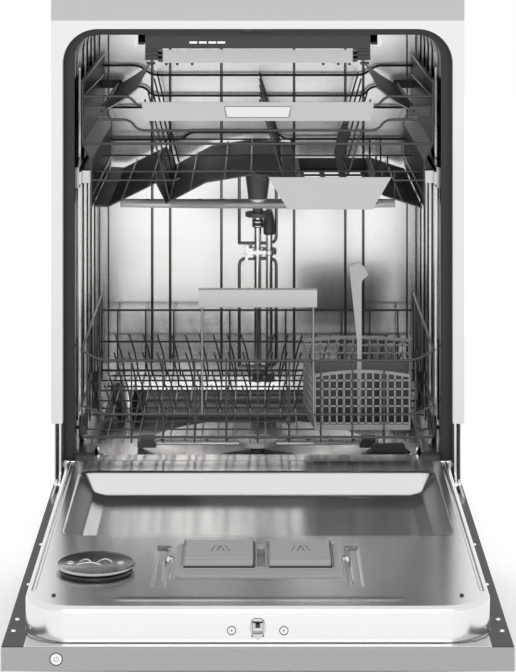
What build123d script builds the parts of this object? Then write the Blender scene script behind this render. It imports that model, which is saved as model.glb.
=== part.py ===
from build123d import *
import math
import os

# A free-standing dishwasher, 598 mm wide, with its door open, as in the photograph.
# Millimetres. X runs to the right, Y to the back, Z up. While the pieces are made, Y = 0 is the
# cabinet's front plane and Z = 0 the floor. save() then moves them so that the origin is the
# middle of the open machine's footprint.

# Cabinet
cabinet_width = 598.0
cabinet_height = 850.0
cabinet_depth = 558.0
worktop_thickness = 30.0
panel_sheet = 1.2
stile_width = 16.5
stile_depth = 18.0
top_rail = 12.0
opening_corner = 51.0
side_notch_height = 237.0
side_notch_depth = 60.0
foot_height = 20.0
foot_radius = 18.0
foot_stem_radius = 6.0
base_height = 75.0
base_wall = 3.0
kick_setback = 57.0
kick_thickness = 2.0
inlet_radius = 13.2
drain_radius = 10.0
spigot_length = 24.0
spigot_collar = 2.5

# Tub
tub_sheet = 1.2
tub_side_gap = 12.5
tub_top_gap = 6.0
tub_front = 44.0
tub_rear_space = 38.0
tub_corner = 45.0
jamb_thickness = 2.0
gasket_width = 14.5
gasket_rear = 43.7
sill_height = 176.0
sill_front = 31.0
ledge_height = 184.0
ledge_width = 30.0
pan_margin = 18.0
pan_depth = 72.0
pan_wall = 49.0
pan_taper = 14.0
dish_radius = 182.0
sump_radius = 72.0
sump_depth = 58.0
riser_radius = 11.0
neck_radius = 8.0
lower_arm_reach = 188.0
upper_arm_reach = 214.5
sump_centre_y = 265.0
wall_rib = 6.0
rib_height = 1.5

# Feed pipes on the rear wall and rails of the racks
pipe_radius = 5.75
pipe_gap = 19.0
pipe_to_wall = 12.0
dock_drop = 143.0
rail_height = 30.0
rail_drop = 217.0
rail_front = 55.0
rail_lip = 4.5
rail_sheet = 1.5
tray_rail_x = 177.0
tray_rail_drop = 22.0

# Door, measured about its hinge axis, which lies along X
hinge_y = -5.0
hinge_z = 150.0
door_side_gap = 1.0
door_top_gap = 5.4
door_tail = 40.0
door_outer_drop = 37.0
door_rim_drop = 9.0
fascia_length = 120.0
liner_side_gap = 6.5
liner_top_gap = 5.0
liner_rise = 34.0
liner_corner = 57.0
liner_edge = 6.0
recess_depth = 24.0
pin_radius = 4.0
pin_clearance = 0.3
button_radius = 7.0
button_travel = 1.5
vent_radius = 49.0
vent_lift = 8.0
lid_pin_radius = 1.2
bolt_reach = 3.0
running_gap = 0.5

# Heights of the racks, down from the top of the tub or up from the floor
upper_level_drop = 94.0
tray_level_drop = 26.0
rack_side_gap = 10.0
rack_front = 42.0
rack_rear_gap = 20.0
rim_wire = 5.0
wire = 4.0
side_sheet = 2.5
mat_sheet = 2.0
tray_half = 165.0
tray_handle_half = 145.0
tray_left = 62.0
tray_right = 178.0
plate_gap = 0.3
plate_wall = 2.7
shelf_front = 60.0
long_pitch = 46.3
lower_floor = 207.0
front_rim = 319.0
front_second = 240.0
rear_rim = 306.0
corner_rim = 334.0
corner_second = 254.0
tine_pitch = 22.8
tine_lean = 10.0
tine_wire = 3.2
wheel_radius = 18.0
wheel_width = 6.5
handle_low = 396.5
upright_tail = 8.5
basket_left = 69.0
basket_width = 166.0
basket_depth = 130.0
basket_height = 92.0
basket_taper = 14.0
basket_rear_rise = 20.0
basket_wall = 2.5
shelf_pin_radius = 2.0

# Sizes that follow from those above
half = cabinet_width / 2
body_top = cabinet_height - worktop_thickness
opening_half = half - stile_width
opening_top = body_top - top_rail
tub_half = opening_half - tub_side_gap
tub_top = opening_top - tub_top_gap
tub_back = cabinet_depth - tub_rear_space
gasket_half = opening_half - gasket_width
gasket_top = opening_top - gasket_width + 5.5
door_half = half - door_side_gap
door_length = body_top - door_top_gap - hinge_z
door_near = hinge_y - door_length
outer_face = hinge_z - door_outer_drop
rim_top = hinge_z - door_rim_drop
liner_half = opening_half - liner_side_gap
liner_top = hinge_z + liner_rise
liner_near = hinge_y - (opening_top - liner_top_gap - hinge_z)
base_top = foot_height + base_height
service_x = -half + 129
service_y = cabinet_depth - 50
service_z = foot_height + 40
lower_half = tub_half - rack_side_gap
upper_half = tub_half - rack_side_gap - 3
shelf_back = tub_back - 60
upper_level = tub_top - upper_level_drop
tray_level = tub_top - tray_level_drop
origin_shift = -(door_near + cabinet_depth) / 2


def box(x0, x1, y0, y1, z0, z1):
    """A block between two opposite corners."""
    return Pos((x0 + x1) / 2, (y0 + y1) / 2, (z0 + z1) / 2) * Box(x1 - x0, y1 - y0, z1 - z0)


def rod_x(x0, x1, y, z, radius):
    """A round bar along X."""
    return Pos((x0 + x1) / 2, y, z) * Rot(0, 90, 0) * Cylinder(radius, x1 - x0)


def rod_y(y0, y1, x, z, radius):
    """A round bar along Y."""
    return Pos(x, (y0 + y1) / 2, z) * Rot(90, 0, 0) * Cylinder(radius, y1 - y0)


def rod_z(z0, z1, x, y, radius):
    """A round bar along Z."""
    return Pos(x, y, (z0 + z1) / 2) * Cylinder(radius, z1 - z0)


def straight_wire(start, end, size):
    """A wire between two points, as a square prism."""
    line = Line(start, end)
    section = Plane(line @ 0, z_dir=line % 0) * Rectangle(size, size)
    return extrude(section, amount=line.length)


def bent_wire(points, size):
    """A wire with mitred bends through the points, square in section."""
    path = Polyline(*points)
    section = Plane(path @ 0, z_dir=path % 0) * Rectangle(size, size)
    return sweep(section, path=path, transition=Transition.RIGHT)


def weld(pieces):
    """One solid out of pieces that meet."""
    return Part() + pieces


def mirrored(piece):
    """The same piece on the other side of the middle plane."""
    return mirror(piece, about=Plane.YZ)


def both_sides(piece):
    """A piece and its mirror image, as a pair."""
    return [piece, mirrored(piece)]


def group(pieces):
    """Like pieces that share one file and stay separate solids."""
    return Compound([solid for piece in pieces for solid in piece.solids()])


def doorway(half_width, bottom, top, corner, y0, y1):
    """A block as wide and high as a doorway, with both upper corners rounded."""
    block = box(-half_width, half_width, y0, y1, bottom, top)
    if corner <= 0:
        return block
    return fillet(block.edges().filter_by(Axis.Y).group_by(Axis.Z)[-1], corner)


def arch(outer, inner, bottom, y0, y1):
    """An inverted U between two doorways, each given as half width, top and corner."""
    body = doorway(outer[0], bottom, outer[1], outer[2], y0, y1)
    hole = doorway(inner[0], bottom - 1, inner[1], inner[2], y0 - 1, y1 + 1)
    return body - hole


def save(name, shape):
    """Write one piece in the frame of the finished model."""
    solids = [Pos(0, origin_shift, 0) * solid for solid in shape.solids()]
    export_step(solids[0] if len(solids) == 1 else Compound(solids), f"parts/{name}.step")


# Cabinet and what it holds

def make_worktop():
    """The worktop: a folded steel cover, open underneath."""
    slab = box(-half, half, 0, cabinet_depth, body_top, cabinet_height)
    slab = fillet(slab.edges().group_by(Axis.Z)[-1], 1.5)
    return slab - box(-half + 2, half - 2, 2, cabinet_depth - 2, body_top - 1, cabinet_height - 2)


def make_side_panel():
    """The right side panel: a flanged sheet, cut away at the hinge."""
    bottom = foot_height + 10
    sheet = box(half - panel_sheet, half, stile_depth, cabinet_depth - 2, bottom, body_top)
    rear = cabinet_depth - 2
    flange = box(half - 16, half - panel_sheet, rear - panel_sheet, rear, bottom, body_top)
    notch = box(half - 20, half + 1, 0, side_notch_depth, 0, side_notch_height)
    return weld([sheet, flange]) - notch


def make_front_frame():
    """The white front frame, a folded channel with two stiles and a top rail."""
    outer = (half, body_top, 0)
    ring = arch(outer, (opening_half, opening_top, opening_corner), side_notch_height, 0, stile_depth)
    groove_outer = (half - panel_sheet, body_top - panel_sheet, 0)
    groove_inner = (opening_half + panel_sheet, opening_top + panel_sheet, opening_corner + panel_sheet)
    groove = arch(groove_outer, groove_inner, side_notch_height - 1, panel_sheet, stile_depth + 1)
    return ring - groove


def make_jamb():
    """The dark lining of the opening between the front frame and the tub."""
    outer = (opening_half + jamb_thickness, opening_top + jamb_thickness, opening_corner + jamb_thickness)
    inner = (opening_half, opening_top, opening_corner)
    return arch(outer, inner, sill_height, stile_depth, tub_front)


def make_gasket():
    """The soft door seal, against which the door's liner closes."""
    front = hinge_y + liner_rise + 0.6
    outer = (opening_half - 0.2, opening_top - 0.2, opening_corner - 0.2)
    inner_radius = opening_corner - gasket_width + 1.5
    middle = (gasket_half + 5, gasket_top + 3, inner_radius + 4)
    inner = (gasket_half, gasket_top, inner_radius)
    base = arch(outer, middle, sill_height + 0.3, front + 5, gasket_rear)
    lip = arch(outer, inner, sill_height + 0.3, front, front + 5)
    return base + lip


def make_rear_panel():
    sheet = box(-half, half, cabinet_depth - 2, cabinet_depth, base_top, body_top)
    panel_field = box(-half + 40, half - 40, cabinet_depth - 1, cabinet_depth + 1, 120, body_top - 60)
    return sheet - panel_field


def make_base_tray():
    """The moulded base: an open tray that carries the pumps, with screw sockets for the feet."""
    wide = half - panel_sheet - 0.3
    front = kick_setback + kick_thickness
    back = cabinet_depth - 2 - panel_sheet
    tray = box(-wide, wide, front, back, foot_height, base_top)
    inside = box(-wide + base_wall, wide - base_wall, front + base_wall, back - base_wall,
                 foot_height + base_wall, base_top + 1)
    tray -= inside
    sockets = [rod_z(foot_height, foot_height + 25, x, y, 12) for x, y in foot_places()]
    ribs = [box(-wide, wide, y, y + base_wall, foot_height, foot_height + 20)
            for y in (sump_centre_y - 105, sump_centre_y + 105)]
    bores = [rod_z(foot_height - 1, foot_height + 26, x, y, foot_stem_radius) for x, y in foot_places()]
    window = box(service_x - 65, service_x + 65, back - 10, back + 1, service_z - 25, service_z + 28)
    niche = box(service_x - 68, service_x + 68, service_y, back, service_z - 28, service_z + 31)
    niche -= box(service_x - 65, service_x + 65, service_y + base_wall, back + 1, service_z - 25,
                 service_z + 28)
    tray = weld([tray - window, niche] + sockets + ribs) - bores
    holes = [rod_y(service_y - 1, service_y + base_wall + 1, x, service_z, radius + spigot_collar + 0.3)
             for x, radius in ((service_x - 32, inlet_radius), (service_x + 32, drain_radius))]
    return tray - holes


def foot_places():
    side = half - 30
    return [(x, y) for x in (-side, side) for y in (kick_setback + 28, cabinet_depth - 36)]


def make_levelling_feet():
    """Four screwed feet, a pad and a stem each."""
    feet = []
    for x, y in foot_places():
        pad = rod_z(0, 8, x, y, foot_radius)
        collar = rod_z(8, foot_height, x, y, foot_stem_radius + 3)
        stem = rod_z(foot_height, foot_height + 25, x, y, foot_stem_radius)
        feet.append(weld([pad, collar, stem]))
    return group(feet)


def make_toe_kick():
    wide = half - 3
    sheet = box(-wide, wide, kick_setback, kick_setback + kick_thickness, foot_height - 10, base_top)
    slots = [box(x - 25, x + 25, kick_setback - 1, kick_setback + 3, foot_height + 22, foot_height + 27)
             for x in (-120, -60, 0, 60, 120)]
    return sheet - slots


def make_tub_wrapper():
    """Sides and top of the tub in one bent sheet, with a flange at the front and pressed ribs."""
    low = sill_height
    corner = tub_corner
    outer = (tub_half + tub_sheet, tub_top + tub_sheet, corner + tub_sheet)
    shell = arch(outer, (tub_half, tub_top, corner), low, tub_front, tub_back)
    edge = (opening_half + jamb_thickness, opening_top + jamb_thickness, opening_corner + jamb_thickness)
    flange = arch(edge, (tub_half, tub_top, corner), low, tub_front, tub_front + tub_sheet)
    ribs = []
    for y in side_rib_places():
        rib = box(tub_half - rib_height, tub_half + tub_sheet / 2, y - wall_rib / 2, y + wall_rib / 2,
                  low + 40, tub_top - corner - 20)
        ribs += both_sides(rib)
    return weld([shell, flange] + ribs)


def side_rib_places():
    depth = tub_back - tub_front
    return [tub_front + depth * share for share in (0.26, 0.5, 0.85)]


def make_tub_back():
    """The rear wall, with pressed ribs beside the feed pipes and a loop round them."""
    wall = box(-tub_half - tub_sheet, tub_half + tub_sheet, tub_back, tub_back + tub_sheet, ledge_height - 60,
               tub_top + tub_sheet)
    front = tub_back - rib_height
    ribs = []
    for x in (60.6, 146, 176):
        rib = box(x - wall_rib / 2, x + wall_rib / 2, front, tub_back + tub_sheet / 2,
                  ledge_height + 30, upper_level + 40)
        ribs += both_sides(rib)
    loops = []
    for low, high in ((ledge_height + 20, 388), (410, upper_level - 130)):
        outer = Pos(0, tub_back, (low + high) / 2) * Rot(90, 0, 0) * extrude(
            RectangleRounded(61.6 + wall_rib, high - low, 14) - RectangleRounded(61.6 - wall_rib,
                                                                              high - low - 2 * wall_rib, 9),
            amount=rib_height)
        loops.append(outer)
    return weld([wall] + ribs + loops)


def make_tub_floor():
    """The floor pan: ledges for the rack's wheels, a low front sill and a hollow down to the sump."""
    front = tub_front + pan_margin
    back = tub_back - pan_margin
    side = tub_half - ledge_width
    deck = box(-tub_half, tub_half, tub_front + tub_sheet, tub_back, ledge_height - tub_sheet, ledge_height)
    deck -= box(-side, side, tub_front - 1, back, ledge_height - 5, ledge_height + 1)
    sill = box(-side - 1, side + 1, sill_front, front + 1, sill_height - tub_sheet, sill_height)
    sill_wings = [box(side, opening_half, sill_front, tub_front, sill_height - tub_sheet, sill_height)]
    low = sill_height - tub_sheet
    risers = [box(side, side + tub_sheet, tub_front + tub_sheet, front + 1, low, ledge_height),
              box(side, tub_half, tub_front, tub_front + 2 * tub_sheet, low, ledge_height)]
    apron = box(-opening_half, opening_half, sill_front, sill_front + tub_sheet, sill_height - 28,
                sill_height)
    bottom = ledge_height - pan_depth
    outer = pan_form(side + tub_sheet, front - tub_sheet, back + tub_sheet, bottom - tub_sheet, tub_sheet)
    inner = pan_form(side, front, back, bottom, 0)
    x, y, z = salt_place()
    boss = rod_z(bottom, z, x, y, 36) & inner
    pan = outer - inner
    pan -= box(-side - 5, side + 5, front - 5, front + 14, sill_height, ledge_height + 5)
    pan -= rod_z(bottom - 10, bottom + 10, 0, sump_centre_y, sump_radius - 8)
    both = [piece for part in sill_wings + risers for piece in both_sides(part)]
    return weld([deck, sill, apron, pan, boss] + both)


def pan_form(side, front, back, bottom, grow):
    """The hollow of the pan: sloping walls, and a round dish down to the sump's rim."""
    top = Pos(0, (front + back) / 2, ledge_height) * RectangleRounded(2 * side, back - front, 30)
    low = ledge_height - pan_wall - grow
    walls = extrude(top, amount=low - ledge_height, taper=pan_taper)
    dish = Cone(sump_radius + 6 + grow, dish_radius + grow, low - bottom + 0.1)
    return walls + Pos(0, sump_centre_y, (low + bottom + 0.1) / 2) * dish


def make_sump():
    """The moulded sump under the floor pan, with a flange and the bore of the filter."""
    top = ledge_height - pan_depth - tub_sheet
    body = rod_z(top - sump_depth, top, 0, sump_centre_y, sump_radius)
    hollow = rod_z(top - sump_depth + 3, top + 1, 0, sump_centre_y, sump_radius - 12)
    riser = rod_z(top - sump_depth, arm_seat(), 0, sump_centre_y, riser_radius)
    neck = rod_z(arm_seat(), arm_seat() + 13, 0, sump_centre_y, neck_radius)
    return weld([body - hollow, riser, neck])


def arm_seat():
    """The height at which the lower spray arm turns on its riser."""
    return ledge_height - pan_depth + 22


def make_filter():
    """The round filter: a perforated plate with a cup that hangs in the sump."""
    top = ledge_height - pan_depth + 2
    centre = Pos(0, sump_centre_y, 0)
    plate = rod_z(top - 2, top, 0, sump_centre_y, sump_radius - 4)
    plate -= rod_z(top - 3, top + 1, 0, sump_centre_y, 44)
    rim = rod_z(top - 5, top + 4, 0, sump_centre_y, 46)
    cup = rod_z(top - 46, top - 5, 0, sump_centre_y, 40)
    hollow = rod_z(top - 43, top + 5, 0, sump_centre_y, 37)
    rim -= hollow
    cup -= hollow
    windows = [centre * Rot(0, 0, angle) * box(20, 60, -6, 6, top - 38, top - 12)
               for angle in range(0, 360, 90)]
    slots = [centre * Rot(0, 0, angle) * box(48, 55, -6, 6, top - 3, top + 1)
             for angle in range(0, 360, 45)]
    cup -= rod_z(top - 50, top, 0, sump_centre_y, riser_radius + running_gap)
    return weld([plate - slots, rim, cup - windows])


def make_circulation_pump():
    """The wash pump: motor, volute and the foot that stands on the tray's rib."""
    z = base_top - 23
    joint_face = sump_centre_y - sump_radius
    motor = rod_y(joint_face - 95, joint_face - 28, 0, z, 26)
    volute = rod_y(joint_face - 28, joint_face - 4, 0, z, 32)
    neck = rod_y(joint_face - 5, joint_face + 10, 0, z, 14)
    rib_y = sump_centre_y - 105
    foot = box(-18, 18, rib_y - 4, rib_y + base_wall + 4, foot_height + 20, z)
    pump = weld([motor, volute, neck, foot])
    return pump - rod_z(0, base_top + 40, 0, sump_centre_y, sump_radius + 0.3)


def make_drain_pump():
    """The drain pump beside the sump, on a foot of its own."""
    z = base_top - 25
    motor = rod_x(sump_radius + 12, sump_radius + 62, sump_centre_y, z, 19)
    neck = rod_x(sump_radius - 8, sump_radius + 13, sump_centre_y, z, 10)
    foot = box(sump_radius + 25, sump_radius + 50, sump_centre_y - 12, sump_centre_y + 12,
               foot_height + base_wall, z)
    pump = weld([motor, neck, foot])
    return pump - rod_z(0, base_top + 40, 0, sump_centre_y, sump_radius + 0.3)


def service_spigot(x, radius):
    """A spigot for a hose, with a collar where it passes through the tray's wall."""
    wall = service_y + base_wall
    collar = rod_y(service_y, wall, x, service_z, radius + spigot_collar)
    return collar + rod_y(wall, wall + spigot_length, x, service_z, radius)


def make_inlet_valve():
    """The water valve: coil, body and the threaded spigot that takes the supply hose."""
    x = service_x - 32
    body = box(x - 17, x + 17, service_y - 32, service_y, service_z - 17, service_z + 17)
    coil = rod_z(service_z + 17, service_z + 34, x, service_y - 16, 12)
    spigot = service_spigot(x, inlet_radius)
    bore = rod_y(service_y - 20, service_y + base_wall + spigot_length + 1, x, service_z, inlet_radius - 4)
    return weld([body, coil, spigot]) - bore


def make_drain_outlet():
    """The hose tail through which the machine is pumped out."""
    x = service_x + 32
    flange = rod_y(service_y - 5, service_y, x, service_z, drain_radius + 8)
    tail = service_spigot(x, drain_radius)
    bore = rod_y(service_y - 6, service_y + base_wall + spigot_length + 1, x, service_z, drain_radius - 2.5)
    return weld([flange, tail]) - bore


def pipe_y():
    return tub_back - pipe_to_wall


def make_feed_pipes():
    """Two steel pipes up the rear wall: one to the upper rack, one short."""
    tall = rod_z(ledge_height, dock_level() - 12, 0, pipe_y(), pipe_radius)
    short = rod_z(ledge_height, 429, pipe_gap, pipe_y(), pipe_radius - 0.3)
    return group([tall, short])


def dock_level():
    return upper_level - dock_drop


def feed_dock():
    """The moulded head of the tall pipe, whose mouth meets the upper rack's feed tube."""
    z = dock_level()
    head = rod_z(z - 12, z + 12, 0, pipe_y(), 9)
    mouth = Pos(0, pipe_y() - 9, z) * Rot(90, 0, 0) * Cone(10, 13, 10)
    bridge = box(-7, 7, pipe_y() + 5, tub_back, z - 6, z + 6)
    return weld([head, mouth, bridge]) - rod_y(pipe_y() - 20, pipe_y() - 4, 0, z, 8)


def pipe_collars():
    """Collars at the foot of each pipe and high on the tall one, and the cap on the short one."""
    collars = []
    for x, low in ((0, ledge_height), (pipe_gap, ledge_height), (0, 440)):
        ring = rod_z(low, low + 13, x, pipe_y(), 9)
        collars.append(ring - rod_z(low - 1, low + 14, x, pipe_y(), pipe_radius))
    cap = rod_z(429, 452, pipe_gap, pipe_y(), 8.2) + Pos(pipe_gap, pipe_y(), 457) * Cone(8.2, 5.5, 10)
    return collars + [cap]


def pipe_clip():
    """The clip that holds both pipes to the rear wall."""
    low, high = 394, 403
    rings = [rod_z(low, high, x, pipe_y(), pipe_radius + 1.8) for x in (0, pipe_gap)]
    plate = box(-12, pipe_gap + 12, pipe_y() + 2, pipe_y() + 5, low, high)
    wings = [box(x - 2, x + 2, pipe_y() + 3, tub_back, low, high) for x in (-10, pipe_gap + 10)]
    bores = [rod_z(low - 1, high + 1, x, pipe_y(), pipe_radius) for x in (0, pipe_gap)]
    return weld(rings + [plate] + wings) - bores


def make_pipe_fittings():
    """The moulded pieces on the feed pipes."""
    return group(pipe_collars() + [pipe_clip(), feed_dock()])


def make_latch_strike():
    """The keeper under the top rail: two prongs with room for the door's bolt between them."""
    low = opening_top - 3.4
    body = box(-20, 20, 3, 15, low, opening_top)
    return body - box(-7.5, 7.5, 2, 11, low - 1, opening_top - 1)


def make_hinge_brackets():
    """A bracket and pin on each side, which carry the door."""
    inside = opening_half + jamb_thickness
    top = side_notch_height + 60
    eye = rod_x(inside, inside + 3, hinge_y, hinge_z, door_rim_drop - 1)
    web = box(inside, inside + 3, hinge_y, side_notch_depth, hinge_z - 8, side_notch_height - 40)
    tall = box(inside, inside + 3, 2, tub_front - 4, side_notch_height - 41, top)
    pin = rod_x(inside, inside + 9, hinge_y, hinge_z, pin_radius)
    hole = rod_x(inside - 1, inside + 4, 42, hinge_z + 22, 9)
    plate = weld([eye, web, tall]) - box(inside - 1, inside + 4, hinge_y - 1, 1.5, hinge_z + 14, top)
    return group(both_sides(weld([plate - hole, pin])))


def make_salt_cap():
    """The screw cap of the salt container, ribbed, on its boss in the pan."""
    x, y, z = salt_place()
    cap = rod_z(z, z + 14, x, y, 33)
    grip = box(x - 28, x + 28, y - 5, y + 5, z + 14, z + 24)
    notches = [Pos(x, y, 0) * Rot(0, 0, angle) * box(30, 35, -3, 3, z + 2, z + 15)
               for angle in range(0, 360, 30)]
    return weld([cap - notches, grip])


def salt_place():
    return tub_half - 73, tub_front + 86, ledge_height - 32


def upper_rail():
    """The fixed half of the upper rack's rail on the right wall: a channel open to the middle."""
    wall = tub_half - rib_height
    low = tub_top - rail_drop - rail_height / 2
    rear = tub_back - 15
    web = box(wall - rail_sheet, wall, rail_front, rear, low, low + rail_height)
    lips = [box(wall - rail_sheet - rail_lip, wall - rail_sheet, rail_front, rear, z, z + rail_sheet)
            for z in (low, low + rail_height - rail_sheet)]
    return weld([web] + lips)


def tray_rail():
    """The rails under the tub's ceiling that carry the cutlery tray, with a stop at each front end."""
    low = tub_top - tray_rail_drop
    web = box(tray_rail_x - rail_sheet, tray_rail_x, rail_front - 8, tub_back - 20, low, tub_top)
    lip = box(tray_rail_x - 9, tray_rail_x, rail_front - 8, tub_back - 20, low, low + rail_sheet)
    stop = box(tray_rail_x, tray_rail_x + 5, rail_front - 8, rail_front + 6, low - 1, tub_top)
    return weld([web, lip, stop])


def make_rack_rails():
    """The fixed rails: two for the upper rack and two for the cutlery tray."""
    return group(both_sides(upper_rail()) + both_sides(tray_rail()))


# Door, in its open position

def make_door_panel():
    """The outer door panel, a folded sheet that the liner is screwed to."""
    near = door_near + fascia_length
    tail = hinge_y + door_tail
    pan = box(-door_half, door_half, near, tail, outer_face, rim_top)
    inside = box(-door_half + panel_sheet, door_half - panel_sheet, near - 1, tail - panel_sheet,
                 outer_face + panel_sheet, rim_top - panel_sheet)
    opening = box(-liner_half + 8, liner_half - 8, near - 1, hinge_y + 12, rim_top - 2, rim_top + 1)
    return pan - inside - opening


def make_control_fascia():
    """The moulded top of the door: a rounded shell with a grip on its outer face and the button's hole."""
    near = door_near
    far = near + fascia_length
    wall = 2.5
    shell = box(-door_half, door_half, near, far, outer_face, rim_top)
    shell = fillet(shell.edges().filter_by(Axis.X).group_by(Axis.Y)[0], 1.5)
    inside = box(-door_half + wall, door_half - wall, near + wall, far + 1, outer_face + wall, rim_top - wall)
    opening = box(-liner_half + 8, liner_half - 8, liner_near + 8, far + 1, rim_top - 3, rim_top + 1)
    x, z = button_place()
    hole = rod_y(near - 1, near + wall + 1, x, z, button_radius + pin_clearance)
    grip_y = far - 42
    pocket = box(-95, 95, grip_y - 18, grip_y + 18, outer_face - 1, outer_face + 15)
    cup = box(-98, 98, grip_y - 21, grip_y + 21, outer_face, outer_face + 18)
    return weld([shell - inside - opening, cup]) - [hole, pocket]


def button_place():
    return -door_half + 64, outer_face + 14


def make_power_button():
    x, z = button_place()
    cap = rod_y(door_near, door_near + 6, x, z, button_radius)
    stem = rod_y(door_near + 6, door_near + 12, x, z, button_radius - 3)
    return chamfer(cap.edges().filter_by(GeomType.CIRCLE).group_by(Axis.Y)[0], 0.6) + stem


def make_control_module():
    """The electronics behind the fascia, with the button's switch."""
    x = button_place()[0]
    front = door_near + 12 + button_travel + running_gap
    case = box(x - 22, x + 128, front, front + 52, outer_face + 2.5, outer_face + 24)
    return case


def liner_profile(inset):
    """The liner's side view: flat, with a quarter circle round the hinge at its far end."""
    near = liner_near + inset
    low = rim_top - (1 if inset else 0)
    radius = liner_rise - inset
    outline = Polyline((near, low), (near, hinge_z + radius), (hinge_y, hinge_z + radius))
    roll = CenterArc((hinge_y, hinge_z), radius, 0, 90)
    tail = Polyline((hinge_y + radius, hinge_z), (hinge_y + radius, low), (near, low))
    return make_face([outline, roll, tail])


def liner_form(inset):
    """The liner as a solid block, drawn in by the inset."""
    wide = liner_half - inset
    block = extrude(Plane.YZ * liner_profile(inset), amount=wide, both=True)
    near_posts = block.edges().filter_by(Axis.Z).group_by(Axis.Y)[0]
    block = fillet(near_posts, liner_corner - inset)
    top = block.edges().group_by(Axis.Z)[-1]
    rim = [edge for edge in top if edge.center().Y < hinge_y - 1]
    rolls = [edge for edge in block.edges().filter_by(GeomType.CIRCLE)
             if abs(edge.arc_center.Y - hinge_y) < 0.01 and abs(edge.arc_center.Z - hinge_z) < 0.01]
    return fillet(rim + rolls, liner_edge - inset * 0.9)


def recess_form(grow):
    """The wide hollow pressed into the liner, with sloping sides."""
    top_z = liner_top
    low_z = liner_top - recess_depth - grow
    near, far = hinge_y - 361, hinge_y - 44
    outline = RectangleRounded(2 * (liner_half - 24 + grow), far - near + 2 * grow, 34)
    top = Pos(0, (near + far) / 2, top_z) * outline
    low_near, low_far = near + 36, far - 61
    low = Pos(0, (low_near + low_far) / 2, low_z) * RectangleRounded(
        2 * (liner_half - 58 + grow), low_far - low_near + 2 * grow, 26)
    return loft([top, low], ruled=True)


def make_door_liner():
    """The stainless inner door: a pressed shell with its hollow and the openings for what it carries."""
    shell = liner_form(0) - recess_form(0) - (liner_form(tub_sheet) - recess_form(tub_sheet))
    vent_x, vent_y = vent_place()
    vent_hole = rod_z(liner_top - 4, liner_top + 1, vent_x, vent_y, vent_radius - 11)
    tray = dispenser_box(-1)
    tray_hole = box(tray[0], tray[1], tray[2], tray[3], liner_top - 4, liner_top + 1)
    bolt_hole = box(-9, 9, liner_near - 1, liner_near + 4, bolt_level() - 10, bolt_level() + 10)
    return shell - [vent_hole, tray_hole, bolt_hole]


def vent_place():
    return -liner_half + 77, hinge_y - 507


def dispenser_box(grow):
    """The dispenser plate's edges: left, right, near and far, grown on each side."""
    return -101 - grow, 101 + grow, hinge_y - 540 - grow, hinge_y - 411 + grow


def bolt_level():
    return hinge_z + 9


def lid_edges():
    """The two lids' left and right edges."""
    return (-90.0, -6.0), (15.0, 90.0)


def lid_axis():
    """Where both lids turn, at their far edge."""
    return hinge_y - 413, liner_top + 5


def make_dispenser_body():
    """The dispenser: a plate on the liner, a deep and a shallow pocket, and ears for the lids' pins."""
    left, right, near, far = dispenser_box(0)
    plate = box(left, right, near, far, liner_top, liner_top + 2)
    plate = fillet(plate.edges().filter_by(Axis.Z), 8)
    well = box(left + 8, right - 8, near + 7, far - 9, liner_top - 34, liner_top + 1)
    deep = box(-85, -11, near + 36, far - 14, liner_top - 30, liner_top + 3)
    shallow = box(20, 85, near + 36, far - 14, liner_top - 12, liner_top + 3)
    slot = box(-3, 9, near + 34, far - 22, liner_top - 6, liner_top + 3)
    y, z = lid_axis()
    ears = []
    for x0, x1 in lid_edges():
        for side in (x0 - 3.5, x1 + 0.5):
            ears.append(box(side, side + 3, y - 3, y + 3, liner_top + 1, z + 3))
    bores = [rod_x(x0 - 4, x0, y, z, lid_pin_radius + 0.1) for x0, x1 in lid_edges()]
    bores += [rod_x(x1, x1 + 4, y, z, lid_pin_radius + 0.1) for x0, x1 in lid_edges()]
    return weld([plate, well] + ears) - [deep, shallow, slot] - bores


def make_lid(edges):
    """A sprung lid: a plate with a raised near lip and a hinge barrel with two pins."""
    x0, x1 = edges
    y, z = lid_axis()
    near = y - 93
    low = liner_top + 2.5
    outline = Polyline((near, low), (near, low + 6), (near + 7, low + 6.5), (near + 16, low + 4),
                       (y, low + 4), (y, low), (near, low))
    plate = extrude(Plane.YZ.offset(x0) * make_face(outline), amount=x1 - x0)
    barrel = rod_x(x0, x1, y, z, 2.5)
    pins = rod_x(x0 - 3, x1 + 3, y, z, lid_pin_radius)
    return weld([plate, barrel, pins])


def make_vent_cap():
    """The round vent cover, which stands clear of the liner on its stem."""
    x, y = vent_place()
    top = liner_top + vent_lift
    disc = rod_z(top - 3, top, x, y, vent_radius)
    disc = chamfer(disc.edges().filter_by(GeomType.CIRCLE).group_by(Axis.Z)[-1], 0.8)
    return disc + rod_z(liner_top - 20, top - 3, x, y, 12)


def make_vent_housing():
    """The duct behind the vent cover, with spokes that hold its stem."""
    x, y = vent_place()
    outer = rod_z(liner_top - 42, liner_top, x, y, vent_radius - 12)
    flange = rod_z(liner_top, liner_top + 1.5, x, y, vent_radius - 4)
    bore = rod_z(liner_top - 40, liner_top + 2, x, y, vent_radius - 15)
    spokes = [box(x - vent_radius + 14, x + vent_radius - 14, y - 2, y + 2, liner_top - 24, liner_top - 20),
              box(x - 2, x + 2, y - vent_radius + 14, y + vent_radius - 14, liner_top - 24, liner_top - 20)]
    return weld([(outer + flange) - bore] + spokes)


def make_latch_housing():
    """The latch's case inside the door's top edge, with a guide for the bolt."""
    z = bolt_level()
    near = liner_near + tub_sheet
    case = box(-18, 18, near, near + 34, z - 13, z + 13)
    guide = box(-6.3, 6.3, near - 1, near + 28, z - 6.3, z + 6.3)
    slot = box(-5, 5, near - 1, near + 12, z - 9.5, z - 6)
    return case - guide - slot


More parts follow.
